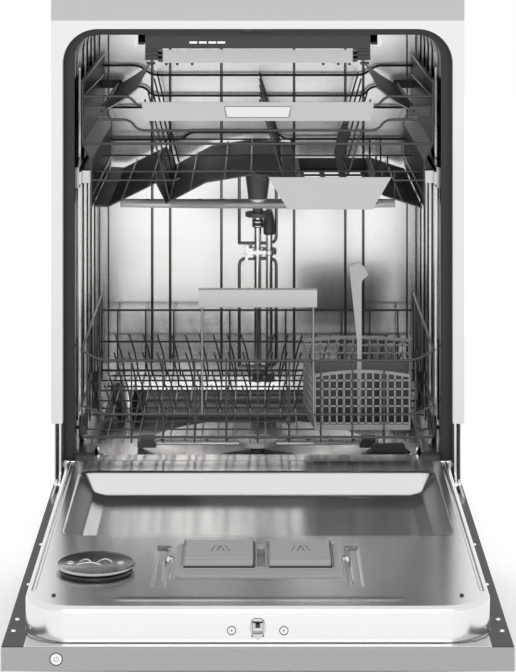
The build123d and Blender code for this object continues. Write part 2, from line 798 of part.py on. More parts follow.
def make_latch_bolt():
    """The sprung bolt of the latch, with a sloping nose."""
    z = bolt_level()
    near = liner_near - bolt_reach
    outline = Polyline((near + 2, z - 6), (near, z - 2), (near, z + 6), (near + 24, z + 6), (near + 24, z - 6),
                       (near + 2, z - 6))
    return extrude(Plane.YZ.offset(-6) * make_face(outline), amount=12)


def make_hinge_arms():
    """The door's hinge arms: an eye round each pin and a foot on the panel's rim."""
    inside = opening_half + jamb_thickness + 5
    eye = rod_x(inside, inside + 3, hinge_y, hinge_z, door_rim_drop - 1)
    arm = box(inside, inside + 3, hinge_y - 70, hinge_y, rim_top, hinge_z + 2)
    foot = box(inside - 8, inside + 3, hinge_y - 70, hinge_y - 20, rim_top, rim_top + 2)
    hole = rod_x(inside - 1, inside + 4, hinge_y, hinge_z, pin_radius + 0.1)
    return group(both_sides(weld([eye, arm, foot]) - hole))


# Spray arms

def blade(length, width, thickness):
    """A spray arm's blade: a long plate with rounded ends, domed on top, centred on its middle."""
    outline = SlotOverall(length, width)
    low = extrude(outline, amount=thickness / 2)
    top = extrude(Pos(0, 0, thickness / 2) * outline, amount=thickness / 2, taper=35)
    inside = extrude(Pos(0, 0, 1.5) * SlotOverall(length - 14, width - 14), amount=thickness - 4)
    return low + top - inside


def make_lower_spray_arm():
    """The lower spray arm, on the sump's riser."""
    low = arm_seat() + running_gap
    arm = Pos(0, sump_centre_y, low + 3) * blade(2 * lower_arm_reach, 42, 12)
    hub = rod_z(low, low + 17, 0, sump_centre_y, 30)
    tips = [box(side * (lower_arm_reach - 19) - 16, side * (lower_arm_reach - 19) + 16,
                sump_centre_y - 14, sump_centre_y + 14, low + 1, low + 12) for side in (-1, 1)]
    jets = [box(x - 1.5, x + 1.5, sump_centre_y + 2, sump_centre_y + 10, low + 14, low + 30)
            for x in (-130, -95, -60, 60, 95, 130)]
    bore = rod_z(low - 1, low + 13, 0, sump_centre_y, neck_radius + running_gap)
    return weld([arm, hub] + tips) - jets - bore


def upper_arm_level():
    """The underside of the upper spray arm's blade."""
    return upper_level - 199


def make_upper_spray_arm():
    """The upper spray arm, held between the hub above it and the nut below."""
    low = upper_arm_level()
    arm = Pos(0, sump_centre_y, low) * blade(2 * upper_arm_reach, 44, 15)
    hub = rod_z(low - 6, low + 15, 0, sump_centre_y, 14)
    jets = [box(x - 1.5, x + 1.5, sump_centre_y - 10, sump_centre_y - 2, low + 8, low + 30)
            for x in (-170, -130, -90, -50, 50, 90, 130, 170)]
    bore = rod_z(low - 7, low + 16, 0, sump_centre_y, neck_radius + running_gap)
    return weld([arm, hub]) - jets - bore


def make_feed_tube():
    """The upper rack's water tube, its hub and the toothed nut that the spray arm turns on."""
    z = dock_level()
    low = upper_arm_level()
    rear = pipe_y() - 14.5
    tube = rod_y(sump_centre_y, rear, 0, z, 8)
    cone = Pos(0, sump_centre_y, (low + 16 + z) / 2) * Cone(15, 20, z - low - 16)
    dome = rod_z(z, z + 11, 0, sump_centre_y, 20)
    neck = rod_z(low - 13, low + 17, 0, sump_centre_y, neck_radius)
    nut = rod_z(low - 13, low - 6.6, 0, sump_centre_y, 19.5)
    teeth = [Pos(0, sump_centre_y, 0) * Rot(0, 0, angle) * box(18, 22, -2, 2, low - 14, low - 6)
             for angle in range(0, 360, 30)]
    return weld([tube, cone, dome, neck, nut - teeth])


# Cutlery tray

def make_cutlery_tray():
    """The shallow tray under the ceiling, slotted, with a runner along each side."""
    side, front, back = tray_half, rack_front + 3, rack_rear() - 18
    low, high = tray_level, tray_level + 21
    shell = box(-side, side, front, back, low, high)
    inside = box(-side + 2, side - 2, front + 3, back - 2, low + 2, high + 1)
    slots = []
    for x in range(5):
        for y in range(7):
            x0 = -side + 12 + x * (2 * side - 24) / 5
            y0 = front + 18 + y * (back - front - 30) / 7
            slots.append(box(x0 + 4, x0 + (2 * side - 24) / 5 - 4, y0, y0 + (back - front - 30) / 7 - 12,
                             low - 1, low + 3))
    runner_z = tub_top - tray_rail_drop + rail_sheet + 0.3
    runner = box(side - 1, tray_rail_x - rail_sheet - 0.5, front + 12, back, runner_z, runner_z + 2.5)
    ears = box(tray_handle_half - 5, side, front - 2, front + 15, low - 17, low)
    rows = [box(-side + 2, side - 2, y, y + 2, low + 1, low + 9) for y in (front + 140, front + 290)]
    tray = weld([shell - inside] + rows + both_sides(runner) + both_sides(ears))
    return tray - slots


def make_cutlery_tray_handle():
    """The pale strip under the tray's front."""
    near = rack_front - 2
    strip = box(-tray_handle_half, tray_handle_half, near, near + 3, tray_level - 20.5, tray_level - 1.5)
    return fillet(strip.edges().filter_by(Axis.Y).group_by(Axis.Z)[0], 6)


def rack_rear():
    return tub_back - rack_rear_gap


# Upper rack

def level(drop):
    """A height on the upper rack, given as the distance below its top wire."""
    return upper_level - drop


def upper_side_line():
    """The cross-section of the upper rack's right side, from the top down."""
    return [(upper_half, level(-18)), (upper_half, level(71.5)), (upper_half - 13, level(95)),
            (upper_half - 13, level(164))]


def upper_frame_wires(y):
    """The wires of the front or the rear of the upper rack, all in one plane."""
    bend, dip = 187.0, 176.0
    top = [(-upper_half, 2), (-bend, 2), (-dip, 17), (dip, 17), (bend, 2), (upper_half, 2)]
    second = [(-upper_half, 36), (-bend, 36), (-dip, 52), (dip, 52), (bend, 36), (upper_half, 36)]
    third = [(-upper_half, 71.5), (upper_half, 71.5)]
    floor_side = upper_half - 13
    low = [(-floor_side, 125), (-118, 125), (-106, 111), (50, 111), (60, 100), (184, 100), (196, 125),
           (floor_side, 125)]
    wires = [bent_wire([(x, y, level(drop)) for x, drop in line], rim_wire)
             for line in (top, second, third, low)]
    post = bent_wire([(x, y, z) for x, z in upper_side_line()], rim_wire)
    return weld(wires + both_sides(post))


def make_upper_rack_front():
    return upper_frame_wires(rack_front + rim_wire / 2)


def make_upper_rack_rear():
    return upper_frame_wires(rack_rear() - rim_wire / 2)


def make_upper_rack_side():
    """The right side of the upper rack: a folded sheet with a wire along its top and the shelf's ears."""
    line = upper_side_line()
    front, back = rack_front + rim_wire, rack_rear() - rim_wire
    sheet = folded_sheet(line, side_sheet, front, back)
    x, z = shelf_axis()
    ears = []
    for y in (shelf_front - 4.5, shelf_back + 0.5):
        ear = box(x - 6, upper_half - side_sheet / 2, y, y + 4, z - 7, z + 7)
        ears.append(ear - rod_y(y - 1, y + 5, x, z, shelf_pin_radius + 0.1))
    z = level(-18) + wire / 2
    rail_line = straight_wire((upper_half, front, z), (upper_half, back, z),
                              wire)
    return weld([sheet, rail_line] + ears)


def offset_strip(line, thickness):
    """A closed outline round a bent line, half the thickness on each side."""
    left, right = [], []
    for index, (x, z) in enumerate(line):
        normals = []
        for other in (index - 1, index):
            if 0 <= other < len(line) - 1:
                dx, dz = line[other + 1][0] - line[other][0], line[other + 1][1] - line[other][1]
                length = math.hypot(dx, dz)
                normals.append((-dz / length, dx / length))
        nx = sum(normal[0] for normal in normals) / len(normals)
        nz = sum(normal[1] for normal in normals) / len(normals)
        scale = thickness / 2 / (nx * nx + nz * nz)
        left.append((x + nx * scale, z + nz * scale))
        right.append((x - nx * scale, z - nz * scale))
    points = left + right[::-1]
    return Polyline(*points, close=True)


def folded_sheet(line, thickness, y0, y1):
    """A sheet folded along lines that run from front to back."""
    return Pos(0, y0, 0) * extrude(Plane.XZ * make_face(offset_strip(line, thickness)), amount=-(y1 - y0))


def mat_line():
    """The folded floor mat, left part, as X and drop."""
    edge = -(upper_half - 13 - side_sheet / 2)
    return [(edge, 164), (-220, 165), (-150, 130), (-135, 160), (-76, 129), (-8, 118), (tray_left - 6, 124)]


def wing_line():
    """The folded floor mat, right part."""
    edge = upper_half - 13 - side_sheet / 2
    return [(tray_right + 6, 148), (edge, 167)]


def mat_height(x):
    """The height of the mat's middle at a given X."""
    line = mat_line() if x < tray_left else wing_line()
    for (x0, d0), (x1, d1) in zip(line, line[1:]):
        if x0 <= x <= x1:
            return level(d0 + (d1 - d0) * (x - x0) / (x1 - x0))
    return level(line[-1][1])


def make_upper_rack_floor():
    """The upper rack's floor: a folded mat with wires and tines on it, and the wires under the small tray."""
    front, back = rack_front + rim_wire, rack_rear() - rim_wire
    mat_front, mat_back = front + 12, back - 14
    mats = [folded_sheet([(x, level(drop)) for x, drop in line], mat_sheet, mat_front, mat_back)
            for line in (mat_line(), wing_line())]
    wires = []
    for x in (-199.5, -143, -70, -9.5, 232):
        z = mat_height(x) + mat_sheet / 2 + wire / 2 - 0.4
        wires.append(straight_wire((x, front, z), (x, back, z), wire))
    carriers = []
    for x, outward in ((tray_left - 2, -1), (tray_right + 2, 1)):
        z = tray_flange() - 0.3 - wire / 2
        carriers.append(straight_wire((x, front, z), (x, back, z), wire))
        for y in cross_places():
            post_x = x + outward * wire
            carriers.append(box(post_x - 2, post_x + 2, y - 2, y + 2, z - 2, level(116)))
    crosses = []
    side = upper_half - 13 - side_sheet / 2
    for y in cross_places():
        z = level(116)
        crosses.append(straight_wire((-side, y, z), (side, y, z), wire))
        crosses.append(box(-152, -148, y - 2, y + 2, level(131), z))
        crosses.append(box(200, 204, y - 2, y + 2, mat_height(202), z))
    return weld(mats + wires + carriers + crosses + upper_tines(front, back))


def upper_tines(front, back):
    """Three rows of leaning tines, each on a wire of its own."""
    pieces = []
    for x, lean in upper_tine_rows():
        low = level(118.5) if x > tray_left else mat_height(x) + mat_sheet / 2 + wire / 2 - 0.4
        pieces.append(straight_wire((x, front, low), (x, back, low), wire))
        for row in range(5):
            y = front + 14 + row * (back - front - 28) / 4
            pieces.append(straight_wire((x, y, low), (x + lean, y, level(9)), tine_wire))
    return pieces


def upper_tine_rows():
    """Where each row of the upper rack's tines stands, and how far its tips lean."""
    return (-130.0, -36.0), (37.0, -34.0), (133.0, 33.0)


def cross_places():
    front, back = rack_front + 30, rack_rear() - 38
    return [front, (front + back) / 2 - 20, back]


def tray_flange():
    """The underside of the small tray's flanges."""
    return level(144)


def make_upper_rack_handle():
    """The pale handle on the upper rack's front, with a bare plate in its middle."""
    near = rack_front - 3
    top, low = level(10), level(37.5)
    outline = Polyline((-165, low), (165, low), (170.5, top), (-170.5, top), (-165, low))
    strip = Pos(0, near, 0) * extrude(Plane.XZ * make_face(outline), amount=-3)
    field = box(-48, 48, near - 1, near + 0.6, level(32), level(16))
    return strip - field


def make_upper_rack_runner():
    """The inner half of the right rail, on three spacers that stand off the rack's side."""
    z = tub_top - rail_drop
    front, back = rack_front + rim_wire, rack_rear() - rim_wire
    inner = tub_half - rib_height - rail_sheet - rail_lip - 0.1
    bar = box(inner - 3, inner, front + 4, back, z - 9, z + 9)
    face = upper_half - 13 + side_sheet / 2
    spacers = [box(face, inner - 3, y, y + 24, z - 9, z + 9)
               for y in (front + 20, (front + back) / 2, back - 44)]
    return weld([bar] + spacers)


def make_rail_slide():
    """The middle slide of the right rail, which runs out half as far as the rack."""
    z = tub_top - rail_drop
    outer = tub_half - rib_height - rail_sheet - 0.5
    inner = outer - rail_lip + 0.9
    bar = box(inner, outer, rail_front, tub_back - 15, z - rail_height / 2 + rail_sheet + 0.5,
              z + rail_height / 2 - rail_sheet - 0.5)
    return bar


def shelf_axis():
    """Where the right cup shelf turns."""
    return upper_half - 28, level(25)


def make_cup_shelf():
    """The right cup shelf: a slanted, perforated plate on a barrel with two pins."""
    x, z = shelf_axis()
    tip_x, tip_z = x - 52, z + 34
    line = [(tip_x, tip_z), (x, z)]
    plate = folded_sheet(line, 2.5, shelf_front, shelf_back)
    length = math.hypot(52, 34)
    slots = []
    for column in range(3):
        for row in range(8):
            y = shelf_front + 24 + row * (shelf_back - shelf_front - 40) / 7.6
            slots.append(Pos(x, y, z) * Rot(0, math.degrees(math.atan2(34, 52)), 0)
                         * box(-length + 8 + column * 17, -length + 19 + column * 17, -12, 12, -4, 4))
    barrel = rod_y(shelf_front, shelf_back, x, z, 3.5)
    pins = rod_y(shelf_front - 4, shelf_back + 4, x, z, shelf_pin_radius)
    return weld([plate - slots, barrel, pins])


def make_utensil_tray():
    """The small tray that runs on two wires under the upper rack's right half."""
    front, back = rack_front + rim_wire + 0.5, rack_rear() - 75
    low = tray_flange() - 17
    shell = box(tray_left + 2, tray_right - 2, front, back, low, tray_flange() + 2)
    inside = box(tray_left + 4, tray_right - 4, front + 2, back - 2, low + 2, tray_flange() + 3)
    slots = []
    for column in range(3):
        for row in range(6):
            x0 = tray_left + 12 + column * 33
            y0 = front + 14 + row * (back - front - 20) / 6
            slots.append(box(x0, x0 + 25, y0, y0 + (back - front - 20) / 6 - 12, low - 1, low + 3))
    flanges = [box(tray_left - 3, tray_left + 2, front + 8, back, tray_flange(), tray_flange() + 2),
               box(tray_right - 2, tray_right + 3, front + 8, back, tray_flange(), tray_flange() + 2)]
    neck = box(tray_left + 14, tray_right - 14, rack_front - plate_gap, front, low, tray_flange() + 2)
    return weld([shell - inside - slots, neck] + flanges)


def make_utensil_tray_handle():
    """The pale plate on the small tray's front, wider at the top."""
    outline = Polyline((44, level(167)), (168, level(167)), (195.5, level(120)), (15.5, level(120)),
                       (44, level(167)))
    front = rack_front - plate_gap - plate_wall
    return Pos(0, front, 0) * extrude(Plane.XZ * make_face(outline), amount=-plate_wall)


# Lower rack

def long_places():
    """The X of each wire that runs from front to back under the plates."""
    count = int(lower_half / long_pitch)
    return [index * long_pitch for index in range(-count, count + 1)]


def lower_frame(y, inward, rim, second, level_rim):
    """The front or the rear grid: crosswires, which may rise to the corners, and uprights behind them."""
    corner = lower_half - 28
    lines = [[(-lower_half, corner_rim), (-corner, rim), (corner, rim), (lower_half, corner_rim)],
             [(-lower_half, corner_second), (-corner, second), (corner, second), (lower_half, corner_second)],
             [(-lower_half + 2, lower_floor - 0.5), (lower_half - 2, lower_floor - 0.5)]]
    if level_rim:
        lines[0] = [(-lower_half, rim), (lower_half, rim)]
    wires = [bent_wire([(x, y, z) for x, z in line], rim_wire) for line in lines]
    upright_y = y + inward * (rim_wire + wire) / 2
    for x in long_places():
        wires.append(box(x - wire / 2, x + wire / 2, upright_y - wire / 2, upright_y + wire / 2,
                         lower_floor - upright_tail, rim + rim_wire / 2))
    wires += both_sides(box(lower_half - rim_wire, lower_half, y - rim_wire / 2, y + rim_wire / 2,
                            lower_floor, corner_rim))
    return weld(wires)


def make_lower_rack_front():
    return lower_frame(rack_front + rim_wire / 2, 1, front_rim, front_second, False)


def make_lower_rack_rear():
    return lower_frame(lower_rear() - rim_wire / 2, -1, rear_rim, corner_second, True)


def lower_rear():
    return tub_back - 30


def make_lower_rack_side():
    """The right side grid, with the two axle plates and pins of its wheels."""
    front, back = rack_front + rim_wire, lower_rear() - rim_wire
    x = lower_half - rim_wire / 2
    wires = [straight_wire((x, front, z), (x, back, z), rim_wire)
             for z in (corner_rim, corner_second, lower_floor + 5)]
    for index in range(1, 8):
        y = front + (back - front) * index / 8
        wires.append(box(x - rim_wire / 2 - wire, x - rim_wire / 2, y - wire / 2, y + wire / 2,
                         lower_floor - wire / 2, corner_rim))
    for y in wheel_places():
        plate = box(lower_half - rim_wire, lower_half, y - 12, y + 12, wheel_level() - 9, lower_floor + 20)
        pin = rod_x(lower_half, lower_half + wheel_width + 0.5, y, wheel_level(), 4)
        wires += [plate, pin]
    return weld(wires)


def wheel_places():
    return rack_front + 78, lower_rear() - 70


def wheel_level():
    return ledge_height + wheel_radius + 0.3


def wheel_pair(y):
    """Two spoked wheels, one on each side of the rack."""
    x0 = lower_half + 0.5
    x1 = x0 + wheel_width
    rim = rod_x(x0, x1, y, wheel_level(), wheel_radius)
    rim -= rod_x(x0 + 2, x1 + 1, y, wheel_level(), wheel_radius - 4)
    hub = rod_x(x0, x1, y, wheel_level(), 8)
    spokes = [Pos(0, y, wheel_level()) * Rot(angle, 0, 0) * box(x0, x1 - 1, -1.5, 1.5, 6, wheel_radius - 2)
              for angle in range(0, 360, 60)]
    bore = rod_x(x0 - 1, x1 + 1, y, wheel_level(), 4.1)
    return group(both_sides(weld([rim, hub] + spokes) - bore))


def make_front_wheels():
    return wheel_pair(wheel_places()[0])


def make_rear_wheels():
    return wheel_pair(wheel_places()[1])


def make_lower_rack_floor():
    """The lower rack's floor: long wires, crosswires on them and the clips of the folding tines.
    The two rows of fixed tines lie on the long wires as bars of their own."""
    front, back = rack_front + rim_wire + wire, lower_rear() - rim_wire - wire
    wires = [straight_wire((x, front, lower_floor), (x, back, lower_floor), wire) for x in long_places()]
    side = lower_half - rim_wire - wire
    for y in (front + 24, front + 114, front + 204, front + 274, front + 344, back - 15):
        wires.append(straight_wire((-side, y, lower_floor + wire), (side, y, lower_floor + wire), wire))
    clips, bores = [], []
    for y, (x0, x1) in zip(folding_rows(), folding_spans()):
        for x in clip_places(x0, x1):
            clips.append(box(x - 3, x + 3, y - 5, y + 5, lower_floor, comb_axis() + 5))
            bores.append(rod_x(x - 4, x + 4, y, comb_axis(), tine_wire / 2 + 0.35))
    return group([weld(wires + clips) - bores] + fixed_tines())


def comb_axis():
    """The height of the axis of the folding tines."""
    return lower_floor + wire / 2 + 0.3 + tine_wire / 2


def folding_rows():
    return rack_front + 78, rack_front + 308


def folding_spans():
    """The width that each folding row covers: the front one stops beside the basket."""
    side = lower_half - 22
    return (-side, basket_left - 14), (-side, side)


def clip_places(x0, x1):
    """The X of a folding row's two clips, each on the long wire nearest to one end."""
    return [min(long_places(), key=lambda place: abs(place - x)) for x in (x0 + 11, x1 - 11)]


def tine_places(x0, x1):
    """The X of each tine in a row, in two halves with a gap in the middle."""
    first = math.ceil((x0 + 4) / tine_pitch - 0.5)
    last = math.floor((x1 - 4) / tine_pitch - 0.5)
    return [(index + 0.5) * tine_pitch for index in range(first, last + 1)]


def tines(places, y, low, height):
    """Upright tines that lean away from the middle."""
    pieces = []
    for x in places:
        lean = math.copysign(height * math.tan(math.radians(tine_lean)), x)
        pieces.append(straight_wire((x - lean * 0.03, y, low), (x + lean, y, low + height), tine_wire))
    return pieces


def fixed_tines():
    """Two rows of tines, each on a bar across the long wires."""
    side = lower_half - 22
    z = lower_floor + wire / 2 + tine_wire / 2
    rows = []
    for y, height in ((rack_front + 163, 56), (rack_front + 388, 66)):
        bar = straight_wire((-side, y, z), (side, y, z), tine_wire)
        rows.append(weld([bar] + tines(tine_places(-side, side), y, z, height)))
    return rows


def folding_tines(row, height):
    """One row of tines on a bar whose round journals turn in the clips."""
    y = folding_rows()[row]
    x0, x1 = folding_spans()[row]
    outline = Pos(y, comb_axis()) * RegularPolygon(tine_wire / 2, 6)
    bar = extrude(Plane.YZ.offset(x0) * outline, amount=x1 - x0)
    journals = [rod_x(x - 5, x + 5, y, comb_axis(), tine_wire / 2) for x in clip_places(x0, x1)]
    return weld([bar] + journals + tines(tine_places(x0, x1), y, comb_axis(), height))


def make_folding_tines_front():
    return folding_tines(0, 54)


def make_folding_tines_rear():
    return folding_tines(1, 54)


def make_lower_rack_handle():
    """The pale handle on the lower rack's front, on two long uprights."""
    near = rack_front - 3
    strip = box(-87, 87, near, near + 3, handle_low, handle_low + 27.5)
    strip = fillet(strip.edges().filter_by(Axis.Y), 3)
    lip = box(-84, 84, near + 3, near + 9, handle_low + 24, handle_low + 27.5)
    stems = both_sides(box(79.6, 83.6, near + 3, near + 8, front_rim + rim_wire / 2, handle_low + 25))
    return weld([strip, lip] + stems)


def basket_box():
    """The basket's faces at the rear, where it is widest, and its lowest and highest edges."""
    low = lower_floor + 1.5 * wire + 0.3
    return (basket_left, basket_left + basket_width, rack_front + 20, rack_front + 20 + basket_depth,
            low, low + basket_height)


def basket_plan(inset):
    """The basket's outline seen from above: narrower at the front."""
    x0, x1, y0, y1 = basket_box()[:4]
    narrow = basket_taper + inset
    points = [(x0 + narrow, y0 + inset), (x1 - narrow + 4, y0 + inset),
              (x1 - inset, y1 - inset), (x0 + inset, y1 - inset)]
    return make_face(Polyline(*points, close=True))


def make_cutlery_basket():
    """The open-work basket, its rear wall higher than the front, with partitions and a stem to lift it by."""
    x0, x1, y0, y1, low, high = basket_box()
    t = basket_wall
    top = high + basket_rear_rise
    shell = Pos(0, 0, low) * extrude(basket_plan(0), amount=top - low)
    shell -= Pos(0, 0, low + t) * extrude(basket_plan(t), amount=top - low)
    middle_x, middle_y = (x0 + x1) / 2 + 2, (y0 + y1) / 2
    slope = Polyline((y0 - 1, high - 12), (y0 + t, high - 12), (y1 - 22, top - 12), (y1 - t, top - 4),
                     (y1 - t, top + 1), (y0 - 1, top + 1), (y0 - 1, high - 12))
    side_cut = extrude(Plane.YZ * make_face(slope), amount=400, both=True)
    arch_radius = 350
    front_arch = rod_y(y0 - 1, y0 + t, middle_x, high - 4 - arch_radius, arch_radius)
    rear_arch = rod_y(y1 - t, y1 + 1, middle_x, top - arch_radius, arch_radius)
    front_wall = shell & box(x0, x1, y0, y0 + t, low, top) & front_arch
    rear_wall = shell & box(x0, x1, y1 - t, y1, low, top) & rear_arch
    shell = shell - side_cut - box(x0 - 1, x1 + 1, y1 - t, y1 + 1, low + t, top + 1)
    shell = shell + front_wall + rear_wall
    windows = []
    columns, rows = 9, 5
    left, right = x0 + basket_taper + 2, x1 - basket_taper + 2
    pitch_x = (right - left) / columns
    pitch_z = (basket_height - 22) / rows
    for column in range(columns):
        for row in range(rows):
            x = left + column * pitch_x
            z = low + 4 + row * pitch_z
            windows.append(box(x + 2, x + pitch_x - 2, y0 - 1, y1 + 1, z + 2, z + pitch_z - 2))
    side_columns = 7
    pitch_y = (basket_depth - 6) / side_columns
    for column in range(side_columns):
        for row in range(rows):
            y = y0 + 3 + column * pitch_y
            z = low + 4 + row * pitch_z
            windows.append(box(x0 - 1, x1 + 1, y + 2, y + pitch_y - 2, z + 2, z + pitch_z - 2))
    walls = shell - windows
    inner = Pos(0, 0, low + 1) * extrude(basket_plan(1), amount=high - low - 14)
    partitions = [box(x0, x1, middle_y - 1, middle_y + 1, low + 1, high - 14) & inner]
    partitions += [box(x - 1, x + 1, y0 + 1, y1 - 1, low + 1, high - 30)
                   for x in (x0 + basket_width / 3, x0 + 2 * basket_width / 3)]
    stem = box(middle_x - 3, middle_x + 3, middle_y - 3, middle_y + 3, low + 1, high + 110)
    fin = box(middle_x - 12, middle_x - 2, middle_y - 1, middle_y + 1, low + 1, high + 112)
    head = Polyline((middle_x - 3, high + 104), (middle_x - 12, high + 118), (middle_x - 12, high + 134),
                    (middle_x - 5, high + 138), (middle_x + 8, high + 136), (middle_x + 13, high + 124),
                    (middle_x + 3, high + 104), (middle_x - 3, high + 104))
    hook = Pos(0, middle_y + 3, 0) * extrude(Plane.XZ * make_face(head), amount=6)
    return weld([walls, stem, fin, hook] + partitions)


def main():
    os.makedirs("parts", exist_ok=True)
    for name, piece in pieces().items():
        save(name, piece)


def pieces():
    """Every piece of the dishwasher by its name."""
    shelf = make_cup_shelf()
    return {
        "worktop": make_worktop(),
        "side_panels": group(both_sides(make_side_panel())),
        "front_frame": make_front_frame(),
        "opening_jamb": make_jamb(),
        "door_gasket": make_gasket(),
        "rear_panel": make_rear_panel(),
        "base_tray": make_base_tray(),
        "levelling_feet": make_levelling_feet(),
        "toe_kick": make_toe_kick(),
        "tub_wrapper": make_tub_wrapper(),
        "tub_back": make_tub_back(),
        "tub_floor": make_tub_floor(),
        "sump": make_sump(),
        "filter_basket": make_filter(),
        "salt_cap": make_salt_cap(),
        "circulation_pump": make_circulation_pump(),
        "drain_pump": make_drain_pump(),
        "inlet_valve": make_inlet_valve(),
        "drain_outlet": make_drain_outlet(),
        "feed_pipes": make_feed_pipes(),
        "pipe_fittings": make_pipe_fittings(),
        "latch_strike": make_latch_strike(),
        "hinge_brackets": make_hinge_brackets(),
        "rack_rails": make_rack_rails(),
        "door_panel": make_door_panel(),
        "control_fascia": make_control_fascia(),
        "control_module": make_control_module(),
        "power_button": make_power_button(),
        "door_liner": make_door_liner(),
        "dispenser_body": make_dispenser_body(),
        "detergent_lid": make_lid(lid_edges()[0]),
        "rinse_aid_lid": make_lid(lid_edges()[1]),
        "vent": group([make_vent_cap(), make_vent_housing()]),
        "latch_housing": make_latch_housing(),
        "latch_bolt": make_latch_bolt(),
        "hinge_arms": make_hinge_arms(),
        "lower_spray_arm": make_lower_spray_arm(),
        "cutlery_tray": make_cutlery_tray(),
        "cutlery_tray_handle": make_cutlery_tray_handle(),
        "upper_rack_ends": group([make_upper_rack_front(), make_upper_rack_rear()]),
        "upper_rack_sides": group(both_sides(make_upper_rack_side())),
        "upper_rack_floor": make_upper_rack_floor(),
        "upper_rack_handle": make_upper_rack_handle(),
        "rack_runners": group(both_sides(make_upper_rack_runner())),
        "rail_slides": group(both_sides(make_rail_slide())),
        "feed_tube": make_feed_tube(),
        "upper_spray_arm": make_upper_spray_arm(),
        "cup_shelf_right": shelf,
        "cup_shelf_left": mirrored(shelf),
        "utensil_tray": make_utensil_tray(),
        "utensil_tray_handle": make_utensil_tray_handle(),
        "lower_rack_ends": group([make_lower_rack_front(), make_lower_rack_rear()]),
        "lower_rack_sides": group(both_sides(make_lower_rack_side())),
        "lower_rack_floor": make_lower_rack_floor(),
        "lower_rack_handle": make_lower_rack_handle(),
        "folding_tines_front": make_folding_tines_front(),
        "folding_tines_rear": make_folding_tines_rear(),
        "front_wheels": make_front_wheels(),
        "rear_wheels": make_rear_wheels(),
        "cutlery_basket": make_cutlery_basket(),
    }


if __name__ == "__main__":
    main()
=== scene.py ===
"""The looks of a free-standing dishwasher with its door open: finishes, round wires and small hardware."""

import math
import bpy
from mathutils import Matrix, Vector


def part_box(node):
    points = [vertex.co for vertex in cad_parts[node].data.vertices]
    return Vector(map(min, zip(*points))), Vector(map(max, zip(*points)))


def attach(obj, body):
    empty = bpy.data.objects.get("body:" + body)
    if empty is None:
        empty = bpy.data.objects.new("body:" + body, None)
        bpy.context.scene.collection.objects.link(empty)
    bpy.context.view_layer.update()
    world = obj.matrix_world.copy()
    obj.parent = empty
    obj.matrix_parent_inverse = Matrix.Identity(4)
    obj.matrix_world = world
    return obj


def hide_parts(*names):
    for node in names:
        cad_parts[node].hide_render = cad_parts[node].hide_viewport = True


bl_info = {
    "name": "Open dishwasher",
    "version": (1, 0, 0),
    "blender": (4, 5, 0),
    "location": "View3D > Sidebar > Dishwasher",
    "description": "Gives a dishwasher's frame its finishes, wires, seals and small hardware",
    "category": "Object",
}

import bpy
import mathutils
import numpy as np
from bpy.props import FloatProperty, FloatVectorProperty, PointerProperty

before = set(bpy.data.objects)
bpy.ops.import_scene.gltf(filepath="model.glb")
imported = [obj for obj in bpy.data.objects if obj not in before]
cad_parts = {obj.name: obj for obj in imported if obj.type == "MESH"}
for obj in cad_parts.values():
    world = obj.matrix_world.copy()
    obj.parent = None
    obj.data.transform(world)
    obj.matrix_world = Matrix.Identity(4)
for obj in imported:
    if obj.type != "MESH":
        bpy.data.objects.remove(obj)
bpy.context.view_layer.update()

# The photograph's frame and the camera that was fitted to it, in pixels of that frame
PHOTO_WIDTH = 516
PHOTO_HEIGHT = 672
FOCAL_PX = 2343.0
MIDDLE_PX = 257.75
HORIZON_PX = -148.0
CAMERA_AWAY = 3389.0
CAMERA_HEIGHT = 1064.0
SENSOR = 36.0
MM = 0.001


class Span:
    """The faces of a node's box at rest, in metres."""

    def __init__(self, node):
        low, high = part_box(node)
        self.left, self.front, self.bottom = low
        self.right, self.back, self.top = high
        self.middle = (low + high) / 2


FRONT = Span("front_frame").front


def at(points):
    """Points in mm, their Y counted from the cabinet's front plane, in metres of the shared frame."""
    return np.asarray(points, float) * MM + (0, FRONT, 0)


def scale_at(y):
    """Pixels of the photograph per mm at a depth behind the cabinet's front plane."""
    return FOCAL_PX / (CAMERA_AWAY + y)


def seen(pixels, y):
    """Where points of the photograph lie, in mm, on the upright plane at one depth."""
    pixels = np.asarray(pixels, float)
    x = (pixels[:, 0] - MIDDLE_PX) / scale_at(y)
    z = CAMERA_HEIGHT - (pixels[:, 1] - HORIZON_PX) / scale_at(y)
    return np.stack([x, np.full(len(pixels), float(y)), z], -1)


# Meshes from arrays

def as_object(name, verts, faces, smooth=True):
    """A mesh object at the origin from an array of points and a list of faces."""
    mesh = bpy.data.meshes.new(name)
    mesh.from_pydata(np.asarray(verts, float).tolist(), [], faces)
    mesh.validate()
    mesh.shade_smooth() if smooth else mesh.shade_flat()
    piece = bpy.data.objects.new(name, mesh)
    bpy.context.scene.collection.objects.link(piece)
    return piece


def grid_faces(rows, columns, wrap_rows=False, wrap_columns=False, offset=0):
    """The quads of a grid of points, as an array of corner numbers."""
    i = np.arange(rows if wrap_rows else rows - 1)
    j = np.arange(columns if wrap_columns else columns - 1)
    i, j = np.meshgrid(i, j, indexing="ij")
    i2, j2 = (i + 1) % rows, (j + 1) % columns
    quads = np.stack([i * columns + j, i2 * columns + j, i2 * columns + j2, i * columns + j2], -1)
    return quads.reshape(-1, 4) + offset


def join_shells(shells):
    """One set of points and faces out of several."""
    verts, faces, count = [], [], 0
    for points, polygons in shells:
        verts.append(points)
        faces += [[corner + count for corner in polygon] for polygon in polygons]
        count += len(points)
    return np.concatenate(verts), faces


